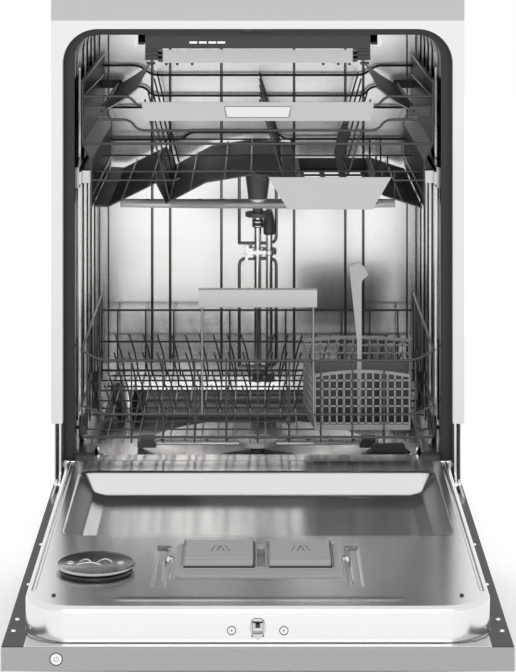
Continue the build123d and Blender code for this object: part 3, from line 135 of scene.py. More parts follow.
def rounded_path(corners, radius, steps=6):
    """A polyline whose corners are eased: each is a parabola between points at most radius away from it."""
    p = np.asarray(corners, float)
    if len(p) < 3:
        return p
    before, corner, after = p[:-2], p[1:-1], p[2:]
    back, ahead = before - corner, after - corner
    back_len = np.linalg.norm(back, axis=1, keepdims=True)
    ahead_len = np.linalg.norm(ahead, axis=1, keepdims=True)
    start = corner + back / back_len * np.minimum(radius, back_len * 0.48)
    end = corner + ahead / ahead_len * np.minimum(radius, ahead_len * 0.48)
    t = np.linspace(0, 1, steps)[None, :, None]
    curve = (1 - t) ** 2 * start[:, None] + 2 * t * (1 - t) * corner[:, None] + t ** 2 * end[:, None]
    return np.concatenate([p[:1], curve.reshape(-1, 3), p[-1:]])


def round_wire(path, diameter, sides=10, cap_rings=3):
    """A round wire along a path in one plane, its ends closed by quarter-circle caps.

    Each ring is centre + r (cos a * n + sin a * b), where n is the path plane's normal and b is
    square to n and to the path; r falls to nothing over the end caps."""
    path = np.asarray(path, float)
    radius = diameter / 2
    along = np.gradient(path, axis=0)
    along /= np.linalg.norm(along, axis=1, keepdims=True)
    turns = np.cross(along[:-1], along[1:])
    sizes = np.linalg.norm(turns, axis=1)
    if len(sizes) and sizes.max() > 1e-6:
        normal = turns[sizes.argmax()] / sizes.max()
    else:
        axis = np.eye(3)[np.abs(along[0]).argmin()]
        normal = np.cross(along[0], axis)
        normal /= np.linalg.norm(normal)
    turn = np.linspace(0, math.pi / 2, cap_rings + 1)[1:]
    first = path[0] - along[0] * radius * np.sin(turn[::-1])[:, None]
    last = path[-1] + along[-1] * radius * np.sin(turn)[:, None]
    centres = np.concatenate([first, path, last])
    tangents = np.concatenate([np.repeat(along[:1], cap_rings, 0), along,
                               np.repeat(along[-1:], cap_rings, 0)])
    radii = np.concatenate([radius * np.cos(turn[::-1]), np.full(len(path), radius), radius * np.cos(turn)])
    binormal = np.cross(tangents, normal)
    angle = np.linspace(0, 2 * math.pi, sides, endpoint=False)
    ring = np.cos(angle)[None, :, None] * normal + np.sin(angle)[None, :, None] * binormal[:, None]
    inner = slice(1, -1)
    points = (centres[:, None] + radii[:, None, None] * ring)[inner].reshape(-1, 3)
    rings = len(centres) - 2
    faces = grid_faces(rings, sides, wrap_columns=True).tolist()
    verts = np.concatenate([points, centres[:1], centres[-1:]])
    start, end = len(points), len(points) + 1
    base = (rings - 1) * sides
    faces += [[start, (k + 1) % sides, k] for k in range(sides)]
    faces += [[end, base + k, base + (k + 1) % sides] for k in range(sides)]
    return verts, faces


def lathe(profile, centre, axis="Z", sides=64):
    """A turned shape: each (radius, height) of the profile goes round the axis through the centre."""
    profile = np.asarray(profile, float)
    angle = np.linspace(0, 2 * math.pi, sides, endpoint=False)
    radius, height = profile[:, 0][:, None], profile[:, 1][:, None]
    around = [radius * np.cos(angle), radius * np.sin(angle), height + 0 * angle]
    order = {"X": (2, 0, 1), "Y": (1, 2, 0), "Z": (0, 1, 2)}[axis]
    points = np.stack([around[k] for k in order], -1).reshape(-1, 3) + np.asarray(centre)
    faces = grid_faces(len(profile), sides, wrap_columns=True).tolist()
    return points, faces


def prism(outline, push):
    """A flat outline, given as points in mm, pushed along a vector in mm into a closed block."""
    near = np.asarray(outline, float)
    far = near + np.asarray(push, float)
    count = len(near)
    turn = np.cross(near[1:] - near[0], np.roll(near, -1, 0)[1:] - near[0]).sum(0)
    if np.dot(turn, push) > 0:
        near, far = near[::-1], far[::-1]
    index = np.arange(count)
    ring = np.stack([index, index + count, (index + 1) % count + count, (index + 1) % count], -1)
    faces = [index.tolist(), (index[::-1] + count).tolist()] + ring.tolist()
    return at(np.concatenate([near, far])), faces


def block(x0, x1, y0, y1, z0, z1):
    """A box between two opposite corners in mm."""
    return prism([(x0, y0, z0), (x1, y0, z0), (x1, y0, z1), (x0, y0, z1)], (0, y1 - y0, 0))


def bars(starts, ends, across, width, depth):
    """Square bars between pairs of points in mm: width is measured along across, depth at right angles."""
    a, b = np.asarray(starts, float), np.asarray(ends, float)
    along = (b - a) / np.linalg.norm(b - a, axis=1, keepdims=True)
    across = np.broadcast_to(np.asarray(across, float), a.shape)
    deep = np.cross(along, across)
    deep /= np.linalg.norm(deep, axis=1, keepdims=True)
    corner = [(-1, -1), (1, -1), (1, 1), (-1, 1)]
    offsets = np.stack([u * width / 2 * across + v * depth / 2 * deep for u, v in corner], 1)
    points = np.concatenate([a[:, None] + offsets, b[:, None] + offsets], 1)
    local = np.array([(0, 1, 5, 4), (1, 2, 6, 5), (2, 3, 7, 6), (3, 0, 4, 7), (3, 2, 1, 0), (4, 5, 6, 7)])
    faces = (local[None] + 8 * np.arange(len(a))[:, None, None]).reshape(-1, 4)
    return at(points.reshape(-1, 3)), faces.tolist()


def sheet_from(rows, thickness, direction):
    """A closed sheet from a grid of points in mm, thickened along a direction."""
    grid = np.asarray(rows, float)
    r, c = grid.shape[:2]
    shift = np.asarray(direction, float) * thickness
    flat = grid.reshape(-1, 3)
    top = grid_faces(r, c)
    bottom = grid_faces(r, c, offset=r * c)[:, ::-1]
    loop = np.concatenate([np.arange(c), np.arange(1, r) * c + c - 1,
                           (r - 1) * c + np.arange(c - 2, -1, -1), np.arange(r - 2, 0, -1) * c])
    after = np.roll(loop, -1)
    rim = np.stack([loop, loop + r * c, after + r * c, after], -1)
    return at(np.concatenate([flat, flat + shift])), np.concatenate([top, bottom, rim]).tolist()


def bar_run(runs, sides=10):
    """Shells for round wires: each run is its corners in mm, its diameter and its bends' radius in mm."""
    return [round_wire(rounded_path(at(corners), bend * MM), size * MM, sides)
            for corners, size, bend in runs]


def mirror_runs(runs):
    """The same wires on the other side of the middle plane."""
    return [(np.asarray(corners, float) * (-1, 1, 1), size, bend) for corners, size, bend in runs]


# Finishes

class CabinetLook(bpy.types.PropertyGroup):
    worktop_colour: FloatVectorProperty(name="Worktop", description="Colour of the worktop's enamel",
                                        subtype="COLOR", size=3, default=(0.455, 0.446, 0.446))
    frame_colour: FloatVectorProperty(name="Front frame", description="Colour of the white front frame",
                                      subtype="COLOR", size=3, default=(0.72, 0.72, 0.715))
    side_colour: FloatVectorProperty(name="Side panels", description="Colour of the painted sides",
                                     subtype="COLOR", size=3, default=(0.8, 0.8, 0.79))
    tub_colour: FloatVectorProperty(name="Tub", description="Colour of the stainless tub",
                                    subtype="COLOR", size=3, default=(0.78, 0.77, 0.76))
    seal_colour: FloatVectorProperty(name="Seal", description="Colour of the rubber seal and the jamb",
                                     subtype="COLOR", size=3, default=(0.018, 0.018, 0.018))


class RackLook(bpy.types.PropertyGroup):
    wire_colour: FloatVectorProperty(name="Wire", description="Colour of the coated wires",
                                     subtype="COLOR", size=3, default=(0.055, 0.055, 0.056))
    sheet_colour: FloatVectorProperty(name="Moulded parts", description="Colour of the racks' dark mouldings",
                                      subtype="COLOR", size=3, default=(0.045, 0.045, 0.046))
    handle_colour: FloatVectorProperty(name="Handles", description="Colour of the pale handles",
                                       subtype="COLOR", size=3, default=(0.5, 0.49, 0.49))
    basket_colour: FloatVectorProperty(name="Basket", description="Colour of the cutlery basket",
                                       subtype="COLOR", size=3, default=(0.3, 0.3, 0.3))
    upper_wire: FloatProperty(name="Upper wires, mm", description="Diameter of the upper rack's frame wires",
                              default=3.9)
    lower_wire: FloatProperty(name="Lower wires, mm", description="Diameter of the lower rack's frame wires",
                              default=3.4)
    thin_wire: FloatProperty(name="Thin wires, mm", description="Diameter of the racks' inner wires",
                             default=2.7)
    tine: FloatProperty(name="Tines, mm", description="Diameter of the lower rack's tines", default=2.6)


class StageLook(bpy.types.PropertyGroup):
    floor_size: FloatProperty(name="Floor", description="Width of the floor", unit="LENGTH", default=14.0)
    sky: FloatProperty(name="Sky", description="Strength of the even light from all round", default=1.0)
    front_power: FloatProperty(name="Front light", description="Power of the light in front",
                               unit="POWER", default=30.0)


def link(tree, source, target):
    tree.links.new(source, target)


def grain_group():
    """Brushed lines: noise drawn out along one direction, as a tone, a roughness and a height."""
    group = bpy.data.node_groups.new("brushed_grain", "ShaderNodeTree")
    for name, kind in (("Vector", "NodeSocketVector"), ("Strength", "NodeSocketFloat")):
        group.interface.new_socket(name=name, in_out="INPUT", socket_type=kind)
    for name in ("Tone", "Height"):
        group.interface.new_socket(name=name, in_out="OUTPUT", socket_type="NodeSocketFloat")
    nodes = group.nodes
    entry, result = nodes.new("NodeGroupInput"), nodes.new("NodeGroupOutput")
    noise = nodes.new("ShaderNodeTexNoise")
    noise.inputs["Scale"].default_value = 1.0
    noise.inputs["Detail"].default_value = 3.0
    link(group, entry.outputs["Vector"], noise.inputs["Vector"])
    centred = nodes.new("ShaderNodeMath")
    centred.operation = "SUBTRACT"
    centred.inputs[1].default_value = 0.5
    link(group, noise.outputs["Fac"], centred.inputs[0])
    scaled = nodes.new("ShaderNodeMath")
    scaled.operation = "MULTIPLY_ADD"
    scaled.inputs[2].default_value = 1.0
    link(group, centred.outputs[0], scaled.inputs[0])
    link(group, entry.outputs["Strength"], scaled.inputs[1])
    link(group, scaled.outputs[0], result.inputs["Tone"])
    link(group, noise.outputs["Fac"], result.inputs["Height"])
    return group


def speckle_group():
    """Moulded plastic's fine grain with a faint cloudiness, as a tone and a height."""
    group = bpy.data.node_groups.new("moulded_grain", "ShaderNodeTree")
    for name, kind in (("Vector", "NodeSocketVector"), ("Strength", "NodeSocketFloat")):
        group.interface.new_socket(name=name, in_out="INPUT", socket_type=kind)
    for name in ("Tone", "Height"):
        group.interface.new_socket(name=name, in_out="OUTPUT", socket_type="NodeSocketFloat")
    nodes = group.nodes
    entry, result = nodes.new("NodeGroupInput"), nodes.new("NodeGroupOutput")
    fine = nodes.new("ShaderNodeTexNoise")
    fine.inputs["Scale"].default_value = 900.0
    fine.inputs["Detail"].default_value = 2.0
    clouds = nodes.new("ShaderNodeTexNoise")
    clouds.inputs["Scale"].default_value = 14.0
    clouds.inputs["Detail"].default_value = 3.0
    link(group, entry.outputs["Vector"], fine.inputs["Vector"])
    link(group, entry.outputs["Vector"], clouds.inputs["Vector"])
    centred = nodes.new("ShaderNodeMath")
    centred.operation = "SUBTRACT"
    centred.inputs[1].default_value = 0.5
    link(group, clouds.outputs["Fac"], centred.inputs[0])
    scaled = nodes.new("ShaderNodeMath")
    scaled.operation = "MULTIPLY_ADD"
    scaled.inputs[2].default_value = 1.0
    link(group, centred.outputs[0], scaled.inputs[0])
    link(group, entry.outputs["Strength"], scaled.inputs[1])
    link(group, scaled.outputs[0], result.inputs["Tone"])
    link(group, fine.outputs["Fac"], result.inputs["Height"])
    return group


def new_material(name, colour, metallic, roughness, **sockets):
    """A material with a Principled BSDF whose plain values stand on its own sockets."""
    material = bpy.data.materials.new(name)
    material.use_nodes = True
    shader = material.node_tree.nodes["Principled BSDF"]
    shader.inputs["Base Color"].default_value = (*colour, 1.0)
    shader.inputs["Metallic"].default_value = metallic
    shader.inputs["Roughness"].default_value = roughness
    for socket, value in sockets.items():
        shader.inputs[socket.replace("_", " ")].default_value = value
    return material


def add_grain(material, group, stretch, strength, bump, colour, roughness, swing):
    """Feed a group's tone into colour and roughness, and its height into a bump."""
    tree = material.node_tree
    nodes = tree.nodes
    shader = nodes["Principled BSDF"]
    place = nodes.new("ShaderNodeTexCoord")
    mapping = nodes.new("ShaderNodeMapping")
    mapping.inputs["Scale"].default_value = stretch
    link(tree, place.outputs["Object"], mapping.inputs["Vector"])
    grain = nodes.new("ShaderNodeGroup")
    grain.node_tree = group
    grain.inputs["Strength"].default_value = strength
    link(tree, mapping.outputs["Vector"], grain.inputs["Vector"])
    tint = nodes.new("ShaderNodeVectorMath")
    tint.operation = "SCALE"
    tint.inputs[0].default_value = colour
    link(tree, grain.outputs["Tone"], tint.inputs["Scale"])
    link(tree, tint.outputs["Vector"], shader.inputs["Base Color"])
    rough = nodes.new("ShaderNodeMath")
    rough.operation = "MULTIPLY_ADD"
    rough.inputs[1].default_value = swing
    rough.inputs[2].default_value = roughness - swing / 2
    link(tree, grain.outputs["Height"], rough.inputs[0])
    link(tree, rough.outputs[0], shader.inputs["Roughness"])
    relief = nodes.new("ShaderNodeBump")
    relief.inputs["Strength"].default_value = bump
    relief.inputs["Distance"].default_value = 0.0002
    link(tree, grain.outputs["Height"], relief.inputs["Height"])
    link(tree, relief.outputs["Normal"], shader.inputs["Normal"])
    return material


def brushed(name, colour, roughness, along, strength=0.12, bump=0.05, swing=0.1, metallic=1.0):
    """Metal with fine lines along an axis of the machine."""
    stretch = [350.0, 350.0, 350.0]
    stretch["XYZ".index(along)] = 3.0
    material = new_material(name, colour, metallic, roughness)
    return add_grain(material, GROUPS["grain"], stretch, strength, bump, colour, roughness, swing)


def moulded(name, colour, roughness, strength=0.12, bump=0.12, swing=0.1, **sockets):
    """Moulded plastic or coated metal with a faint grain."""
    material = new_material(name, colour, 0.0, roughness, **sockets)
    return add_grain(material, GROUPS["speckle"], (1, 1, 1), strength, bump, colour, roughness, swing)


GROUPS = {}
FINISHES = {}


def dress(node, finish):
    """Give a CAD node one finish all over."""
    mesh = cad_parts[node].data
    mesh.materials.clear()
    mesh.materials.append(FINISHES[finish])


def finish_piece(piece, finish, slot, body, *nodes):
    """Give a new piece its finish, its body and the nodes that it stands for; the slot is not used."""
    piece.data.materials.append(FINISHES[finish])
    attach(piece, body)
    if nodes:
        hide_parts(*nodes)
    return piece


class DISHWASHER_OT_finishes(bpy.types.Operator):
    """Make the finishes and give them to the nodes that are shown as they are"""
    bl_idname = "dishwasher.finishes"
    bl_label = "Finishes"

    def execute(self, context):
        cabinet, rack = context.scene.dishwasher_cabinet, context.scene.dishwasher_rack
        GROUPS["grain"], GROUPS["speckle"] = grain_group(), speckle_group()
        FINISHES.update({
            "worktop": brushed("worktop_enamel", tuple(cabinet.worktop_colour), 0.42, "X", 0.05, 0.02, 0.08,
                               metallic=0.0),
            "frame": moulded("frame_paint", tuple(cabinet.frame_colour), 0.4, 0.04, 0.03),
            "side": moulded("side_paint", tuple(cabinet.side_colour), 0.45, 0.04, 0.05),
            "seal": moulded("seal_rubber", tuple(cabinet.seal_colour), 0.5, 0.2, 0.1),
            "jamb": moulded("jamb_plastic", (0.03, 0.03, 0.03), 0.32, 0.15, 0.06),
            "zinc": brushed("zinc_sheet", (0.55, 0.56, 0.57), 0.4, "Z", 0.2, 0.05),
            "base": moulded("base_plastic", (0.03, 0.03, 0.031), 0.55),
            "tub": brushed("tub_steel", tuple(cabinet.tub_colour), 0.2, "Z", 0.05, 0.02, 0.06),
            "pipe": brushed("pipe_steel", (0.8, 0.79, 0.78), 0.14, "Z", 0.05, 0.02, 0.04),
            "rail": brushed("rail_steel", (0.5, 0.5, 0.5), 0.25, "Y", 0.1, 0.02),
            "hinge": brushed("hinge_steel", (0.75, 0.75, 0.74), 0.3, "Z", 0.15, 0.03),
            "grey_plastic": moulded("grey_plastic", (0.11, 0.11, 0.11), 0.42),
            "white_plastic": moulded("white_plastic", (0.75, 0.75, 0.73), 0.4),
            "dark_plastic": moulded("dark_plastic", (0.025, 0.025, 0.026), 0.4),
            "door": moulded("door_paint", (0.012, 0.012, 0.012), 0.4, 0.06, 0.02),
            "fascia": brushed("fascia_steel", (0.335, 0.33, 0.33), 0.38, "X", 0.06, 0.02, 0.08, 0.35),
            "liner": brushed("liner_steel", (0.77, 0.765, 0.76), 0.21, "X", 0.04, 0.015, 0.05),
            "vent": brushed("vent_steel", (0.5, 0.49, 0.49), 0.2, "X", 0.08, 0.02, 0.06),
            "dispenser": moulded("dispenser_plastic", (0.33, 0.33, 0.33), 0.35, 0.06, 0.06),
            "button": moulded("button_plastic", (0.8, 0.8, 0.8), 0.3, 0.03, 0.02),
            "wire": moulded("wire_coating", tuple(rack.wire_colour), 0.32, 0.15, 0.04),
            "plate": moulded("plate_enamel", (0.72, 0.72, 0.72), 0.3, 0.03, 0.03),
            # Paler than the wires' dark coating: painted highlight on the wires that catch the light.
            "wire_painted_highlight": brushed("wire_painted_highlight", (0.32, 0.315, 0.31), 0.3, "Y", 0.1, 0.03, 0.05, 0.7),
            "flange": brushed("flange_steel", (0.6, 0.6, 0.6), 0.22, "X", 0.05, 0.02, 0.05),
            # Steel darker than the tub's own, for its ribs and the liner's foot: painted shade.
            "rib": brushed("rib_painted_shade_steel", (0.2, 0.2, 0.2), 0.2, "Z", 0.1, 0.02, 0.05),
            # Nearly black steel for the sheet over the pan's rear wall: painted shade.
            "pan_painted_shade": brushed("pan_painted_shade_steel", (0.1, 0.1, 0.1), 0.3, "X", 0.12, 0.03, 0.08),
            "arm_pale": brushed("spray_arm_steel", (0.8, 0.795, 0.79), 0.24, "X", 0.06, 0.02, 0.05, 0.3),
            "cap_grey": moulded("cap_plastic", (0.07, 0.07, 0.07), 0.4),
            "tray_dark": moulded("tray_plastic", (0.02, 0.02, 0.02), 0.35, 0.1, 0.05),
            "rim_dark": moulded("door_rim_paint", (0.015, 0.015, 0.015), 0.45, 0.1, 0.03),
            "bright": brushed("bright_steel_and_painted_light", (0.85, 0.85, 0.85), 0.25, "X", 0.05, 0.02, 0.05),
            "shield": brushed("latch_steel", (0.6, 0.6, 0.6), 0.35, "X", 0.08, 0.02, 0.06),
            # A darker copy of the basket's plastic for its inside: painted shade.
            "basket_painted_shade": moulded("basket_inside_painted_shade", (0.1, 0.1, 0.1), 0.45, 0.08, 0.05),
            "sheet": moulded("rack_moulding", tuple(rack.sheet_colour), 0.42, 0.15, 0.1),
            "handle": moulded("handle_plastic", tuple(rack.handle_colour), 0.36, 0.04, 0.03),
            "basket": moulded("basket_plastic", tuple(rack.basket_colour), 0.4, 0.08, 0.05),
        })
        shown = {
            "worktop": ("worktop",),
            "frame": ("front_frame",),
            "side": ("side_panels",),
            "zinc": ("rear_panel",),
            "seal": ("door_gasket",),
            "jamb": ("opening_jamb",),
            "base": ("base_tray", "levelling_feet", "toe_kick"),
            "tub": ("tub_wrapper", "tub_back", "tub_floor"),
            "pipe": ("feed_pipes",),
            "grey_plastic": ("sump", "filter_basket", "circulation_pump", "drain_pump", "drain_outlet",
                             "pipe_fittings", "feed_tube"),
            "white_plastic": ("inlet_valve",),
            "dark_plastic": ("latch_strike", "latch_housing", "control_module", "front_wheels", "rear_wheels"),
            "hinge": ("hinge_brackets", "hinge_arms"),
            "rail": ("rack_rails", "rack_runners", "rail_slides"),
            "door": ("door_panel",),
            "fascia": ("control_fascia",),
            "dispenser": ("dispenser_body",),
            "button": ("power_button",),
            "tray_dark": ("cutlery_tray",),
            "sheet": ("upper_rack_sides", "utensil_tray"),
            "handle": ("cutlery_tray_handle", "utensil_tray_handle", "upper_rack_handle"),
        }
        for finish, nodes in shown.items():
            for node in nodes:
                dress(node, finish)
        return {"FINISHED"}


def new_piece(name, shells, finish, slot, body, *nodes, smooth=True, crease=None):
    """A finished piece out of several shells; edges sharper than the crease, in degrees, stay sharp."""
    piece = as_object(name, *join_shells(shells), smooth=smooth)
    if crease is not None:
        piece.data.set_sharp_from_angle(angle=math.radians(crease))
    return finish_piece(piece, finish, slot, body, *nodes)


# The racks, in mm: depths of their end walls, the upper rack's top line, the lower rack's spacing of wires
RACK_FRONT = 44.5
UPPER_REAR = 497.5
UPPER_TOP = 708.0
LOWER_REAR = 487.5
WIRE_PITCH = 46.3
TINE_PITCH = 22.8
TINE_LEAN = math.radians(13.0)

# The lower rack's rows of tines: each folding row's depth and right end, each fixed row's depth and height
FOLDING_ROWS = {"folding_tines_front": (120, 55), "folding_tines_rear": (350, 238)}
FIXED_ROWS = ((205, 56), (430, 66))

# The upper rack's folded mat and its right wing, as X and distance below the top line
MAT = ((-242.0, 164), (-220, 165), (-150, 130), (-135, 160), (-76, 129), (-8, 118), (56, 124))
WING = ((184.0, 148), (242, 167))

# A cup shelf's hinge and tip, as X and height
SHELF_AXIS = (229.0, 683.0)
SHELF_TIP = (177.0, 717.0)

# The depth of both spray arms' axis, in mm
ARM_AXIS = 265.0

# The open door, in mm: the heights of its inner side's rim and of the liner's face, the vent's X and Y, and
# the depths between which the dispenser's tray takes the liner's place
DOOR_TOP = 141.0
LINER_FACE = 184.0
VENT_CENTRE = (-199.0, -512.0)
TRAY_SPAN = (-543.0, -418.0)


def drop(x, y, down):
    """A point of the upper rack: X, Y and the distance below its top line."""
    return x, y, UPPER_TOP - down


def line_x(y, *places):
    """A wire in one upright plane of the upper rack, as X and distance below the top line."""
    return [drop(x, y, down) for x, down in places]


def mat_surface(line, pitch=4.5, ridge=0.35):
    """A folded mat: z = fold(x) + ridge |sin(pi y / pitch)|, fine ridges that run across it."""
    corners = np.asarray(line, float)
    x = np.unique(np.concatenate([corners[:, 0], np.linspace(corners[0, 0], corners[-1, 0], 40)]))
    y = np.arange(59.0, 481.1, pitch / 4)
    fold = UPPER_TOP - np.interp(x, corners[:, 0], corners[:, 1])
    z = fold[None, :] + ridge * np.abs(np.sin(np.pi * y / pitch))[:, None]
    grid = np.stack([np.broadcast_to(x, z.shape), np.broadcast_to(y[:, None], z.shape), z], -1)
    return sheet_from(grid, 2.0, (0, 0, -1))


def on_mat(x):
    """The height of the mat's top at X."""
    line = np.asarray(MAT if x < 60 else WING, float)
    return UPPER_TOP - np.interp(x, line[:, 0], line[:, 1]) + 1.6


class DISHWASHER_OT_upper_rack(bpy.types.Operator):
    """Give the upper rack its round wires, ribbed mats, leaning tines and cup shelves"""
    bl_idname = "dishwasher.upper_rack"
    bl_label = "Upper rack"

    def execute(self, context):
        look = context.scene.dishwasher_rack
        size, thin = look.upper_wire, look.thin_wire
        front, rear = RACK_FRONT, UPPER_REAR
        ends = [
            (line_x(front, (-256, 2), (-187, 2), (-176, 17), (176, 17), (187, 2), (256, 2)), size, 12),
            (line_x(front, (-236, 36), (-187, 36), (-176, 52), (176, 52), (187, 36), (236, 36)), size, 12),
            (line_x(front, (-256, 71.5), (256, 71.5)), size, 5),
            (line_x(front, (-242, 125), (-120, 125), (-115, 122)), thin, 4),
            (line_x(front, (-107, 111.5), (-8, 111.5), (6, 124), (12, 124)), thin, 6),
            (line_x(front, (199, 125), (242, 125)), thin, 4),
            (line_x(rear, (-256, -2), (-195, -2), (-176, 14), (176, 14), (195, -2), (256, -2)), size, 12),
            (line_x(rear, (-236, 33), (-187, 33), (-176, 48), (176, 48), (187, 33), (236, 33)), size, 12),
            (line_x(rear, (-256, 67.5), (256, 67.5)), size, 5),
            (line_x(rear, (-242, 121), (-126, 121), (-112, 109), (30, 109), (45, 120), (242, 120)), size, 8),
        ]
        for y in (front, rear):
            post = (line_x(y, (257, -18), (257, 71.5), (244, 95), (244, 160)), thin, 6)
            ends += [post] + mirror_runs([post])
        new_piece("upper_rack_end_wires", bar_run(ends, 12), "wire", "rack_wire", "upper_rack",
                  "upper_rack_ends")

        # The side wires are made pale: painted highlight.
        sides = [([(255.2, 47, 728), (255.2, 496, 728)], thin, 4),
                 ([(254.2, 47, 707), (254.2, 479, 696)], thin, 4),
                 ([(241.2, 47, 563), (241.2, 496, 563)], thin, 4)]
        new_piece("upper_rack_side_wires", bar_run(sides + mirror_runs(sides)), "wire_painted_highlight", "rack_wire",
                  "upper_rack")

        new_piece("upper_rack_mats", [mat_surface(MAT), mat_surface(WING)], "sheet", "rack_black",
                  "upper_rack", "upper_rack_floor", crease=25)
        # The wires laid on the mats are made pale: painted highlight.
        laid = [([(x, 47, on_mat(x)), (x, 494, on_mat(x))], thin, 4)
                for x in (-199.5, -158.0, -99.2, -48.8, -9.5, 211.5)]
        new_piece("upper_rack_long_wires", bar_run(laid), "wire_painted_highlight", "rack_wire", "upper_rack")
        carriers = []
        for x in (60, 180):
            carriers.append(([(x, 47, 561.7), (x, 495, 561.7)], look.lower_wire, 4))
            outside = x - 4 if x < 100 else x + 4
            carriers += [([(outside, y, 560), (outside, y, 592)], look.lower_wire, 4) for y in (72, 256, 462)]
        for y in (72, 256, 462):
            carriers += [([(-240, y, 592), (240, y, 592)], thin, 4),
                         ([(-150, y, 578), (-150, y, 592)], thin, 4),
                         ([(202, y, on_mat(202) - 1), (202, y, 592)], thin, 4)]
        rods = []
        for foot, tip, low in ((-130, -166, on_mat(-130)), (37, 3, on_mat(37)), (133, 166, 589.5)):
            carriers.append(([(foot, 47, low), (foot, 495, low)], thin, 4))
            rods += [([(foot, y, low - 1), (tip, y, 699)], thin, 4) for y in np.linspace(61, 481, 5)]
        new_piece("upper_rack_carriers", bar_run(carriers), "wire", "rack_wire", "upper_rack")
        new_piece("upper_rack_tines", bar_run(rods), "wire", "rack_wire", "upper_rack")

        strap = seen([(343.5, 121), (350.5, 131.5), (345.5, 145), (343.5, 177), (339, 177), (334, 152.5),
                      (338, 132.5)], 252)
        new_piece("tray_strap", [prism(strap, (0, 3, 0))], "sheet", "rack_black", "upper_rack", smooth=False)
        cup_shelf("left", -1, thin)
        cup_shelf("right", 1, thin)
        return {"FINISHED"}


def cup_shelf(name, side, thin):
    """One cup shelf: a bowed plate, its edges pierced, with wires across it and a hook at its hinge."""
    axis, tip = np.array(SHELF_AXIS), np.array(SHELF_TIP)
    slope = (tip - axis) / np.linalg.norm(tip - axis)
    normal = np.array([-slope[1], slope[0]])
    along = np.linspace(0, 1, 19)
    bow = 2.2 * np.sin(np.pi * along)
    line = axis + along[:, None] * (tip - axis) + bow[:, None] * normal
    depths = np.linspace(62, 458, 100)
    rows, columns = len(depths), len(line)
    grid = np.stack([np.broadcast_to(side * line[:, 0], (rows, columns)),
                     np.broadcast_to(depths[:, None], (rows, columns)),
                     np.broadcast_to(line[:, 1], (rows, columns))], -1)
    verts, faces = sheet_from(grid, 2.0, (0, 0, -1))
    holes, edges = set(), []
    cells, count = (rows - 1) * (columns - 1), rows * columns
    for row in range(1, rows - 1, 2):
        for column in (1, 3, 5):
            cell = row * (columns - 1) + column
            holes.update((cell, cells + cell))
            corner = row * columns + column
            ring = [corner, corner + 1, corner + 1 + columns, corner + columns]
            edges += [[ring[k], ring[(k + 1) % 4], ring[(k + 1) % 4] + count, ring[k] + count]
                      for k in range(4)]
    faces = [face for index, face in enumerate(faces) if index not in holes] + edges
    x, z = side * axis[0], axis[1]
    barrel = bar_run([([(x, 60, z), (x, 460, z)], 7, 4), ([(x, 56, z), (x, 464, z)], 4, 4)], 14)
    node = f"cup_shelf_{name}"
    new_piece(f"{node}_plate", [(verts, faces)] + barrel, "sheet", "rack_black", node, node, crease=35)
    start, end = axis + normal, tip + normal
    arch = (start, (start + end) / 2 + normal * 3.0, end)
    # The shelf's wires and hooks are made pale: painted highlight.
    runs = [([(side * x, y, z) for x, z in arch], thin * 0.85, 20) for y in (61, 165, 300, 440)]
    new_piece(f"{node}_wires", bar_run(runs), "wire_painted_highlight", "rack_wire", node)
    hook = (SHELF_AXIS, (236.5, 676.5), (222.5, 664.5), (207.0, 674.0), (214.0, 682.0))
    hooks = [([(side * x, y, z) for x, z in hook], thin * 0.8, 5) for y in (63, 450)]
    new_piece(f"{node}_hooks", bar_run(hooks), "wire_painted_highlight", "rack_wire", node)


def lower_runs(size, thin):
    """The lower rack's end and side grids as wires."""
    front, rear = RACK_FRONT, LOWER_REAR
    ends = [([(-259, front, 334), (-232, front, 319), (232, front, 319), (259, front, 334)], size, 16),
            ([(-259, front, 254), (-232, front, 240), (232, front, 240), (259, front, 254)], size, 16),
            ([(-256, front, 206.5), (256, front, 206.5)], size + 0.6, 4),
            ([(-258, rear, 306), (258, rear, 306)], size, 4),
            ([(-259, rear, 254), (-232, rear, 254), (232, rear, 254), (259, rear, 254)], size, 16),
            ([(-256, rear, 206.5), (256, rear, 206.5)], size, 4)]
    for x in np.arange(-5, 6) * WIRE_PITCH:
        ends += [([(x, front + 3.4, 198.5), (x, front + 3.4, 320.5)], thin, 4),
                 ([(x, rear - 3.4, 198.5), (x, rear - 3.4, 307.5)], thin, 4)]
    for y in (front, rear):
        ends += [([(x, y, 207), (x, y, 333)], thin, 4) for x in (-257.5, 257.5)]
    sides = [([(257.5, front, z), (257.5, rear, z)], size, 4) for z in (334, 254, 212)]
    for y in np.linspace(47, 485, 9)[1:-1]:
        sides.append(([(254, y, 205), (254, y, 334)], thin, 4))
    return ends, sides + mirror_runs(sides)


def rack_tines(places, y, low, height, thin, bend):
    """A row of tines that lean away from the middle and bow a little."""
    runs = []
    for x in places:
        outward = math.copysign(height * math.tan(TINE_LEAN), x)
        runs.append(([(x, y, low), (x + outward * 0.32, y + bend, low + height * 0.5),
                      (x + outward, y, low + height)], thin, 20))
    return runs


def nearest(places, x):
    """The one of several places that is nearest to x."""
    return places[np.abs(places - x).argmin()]


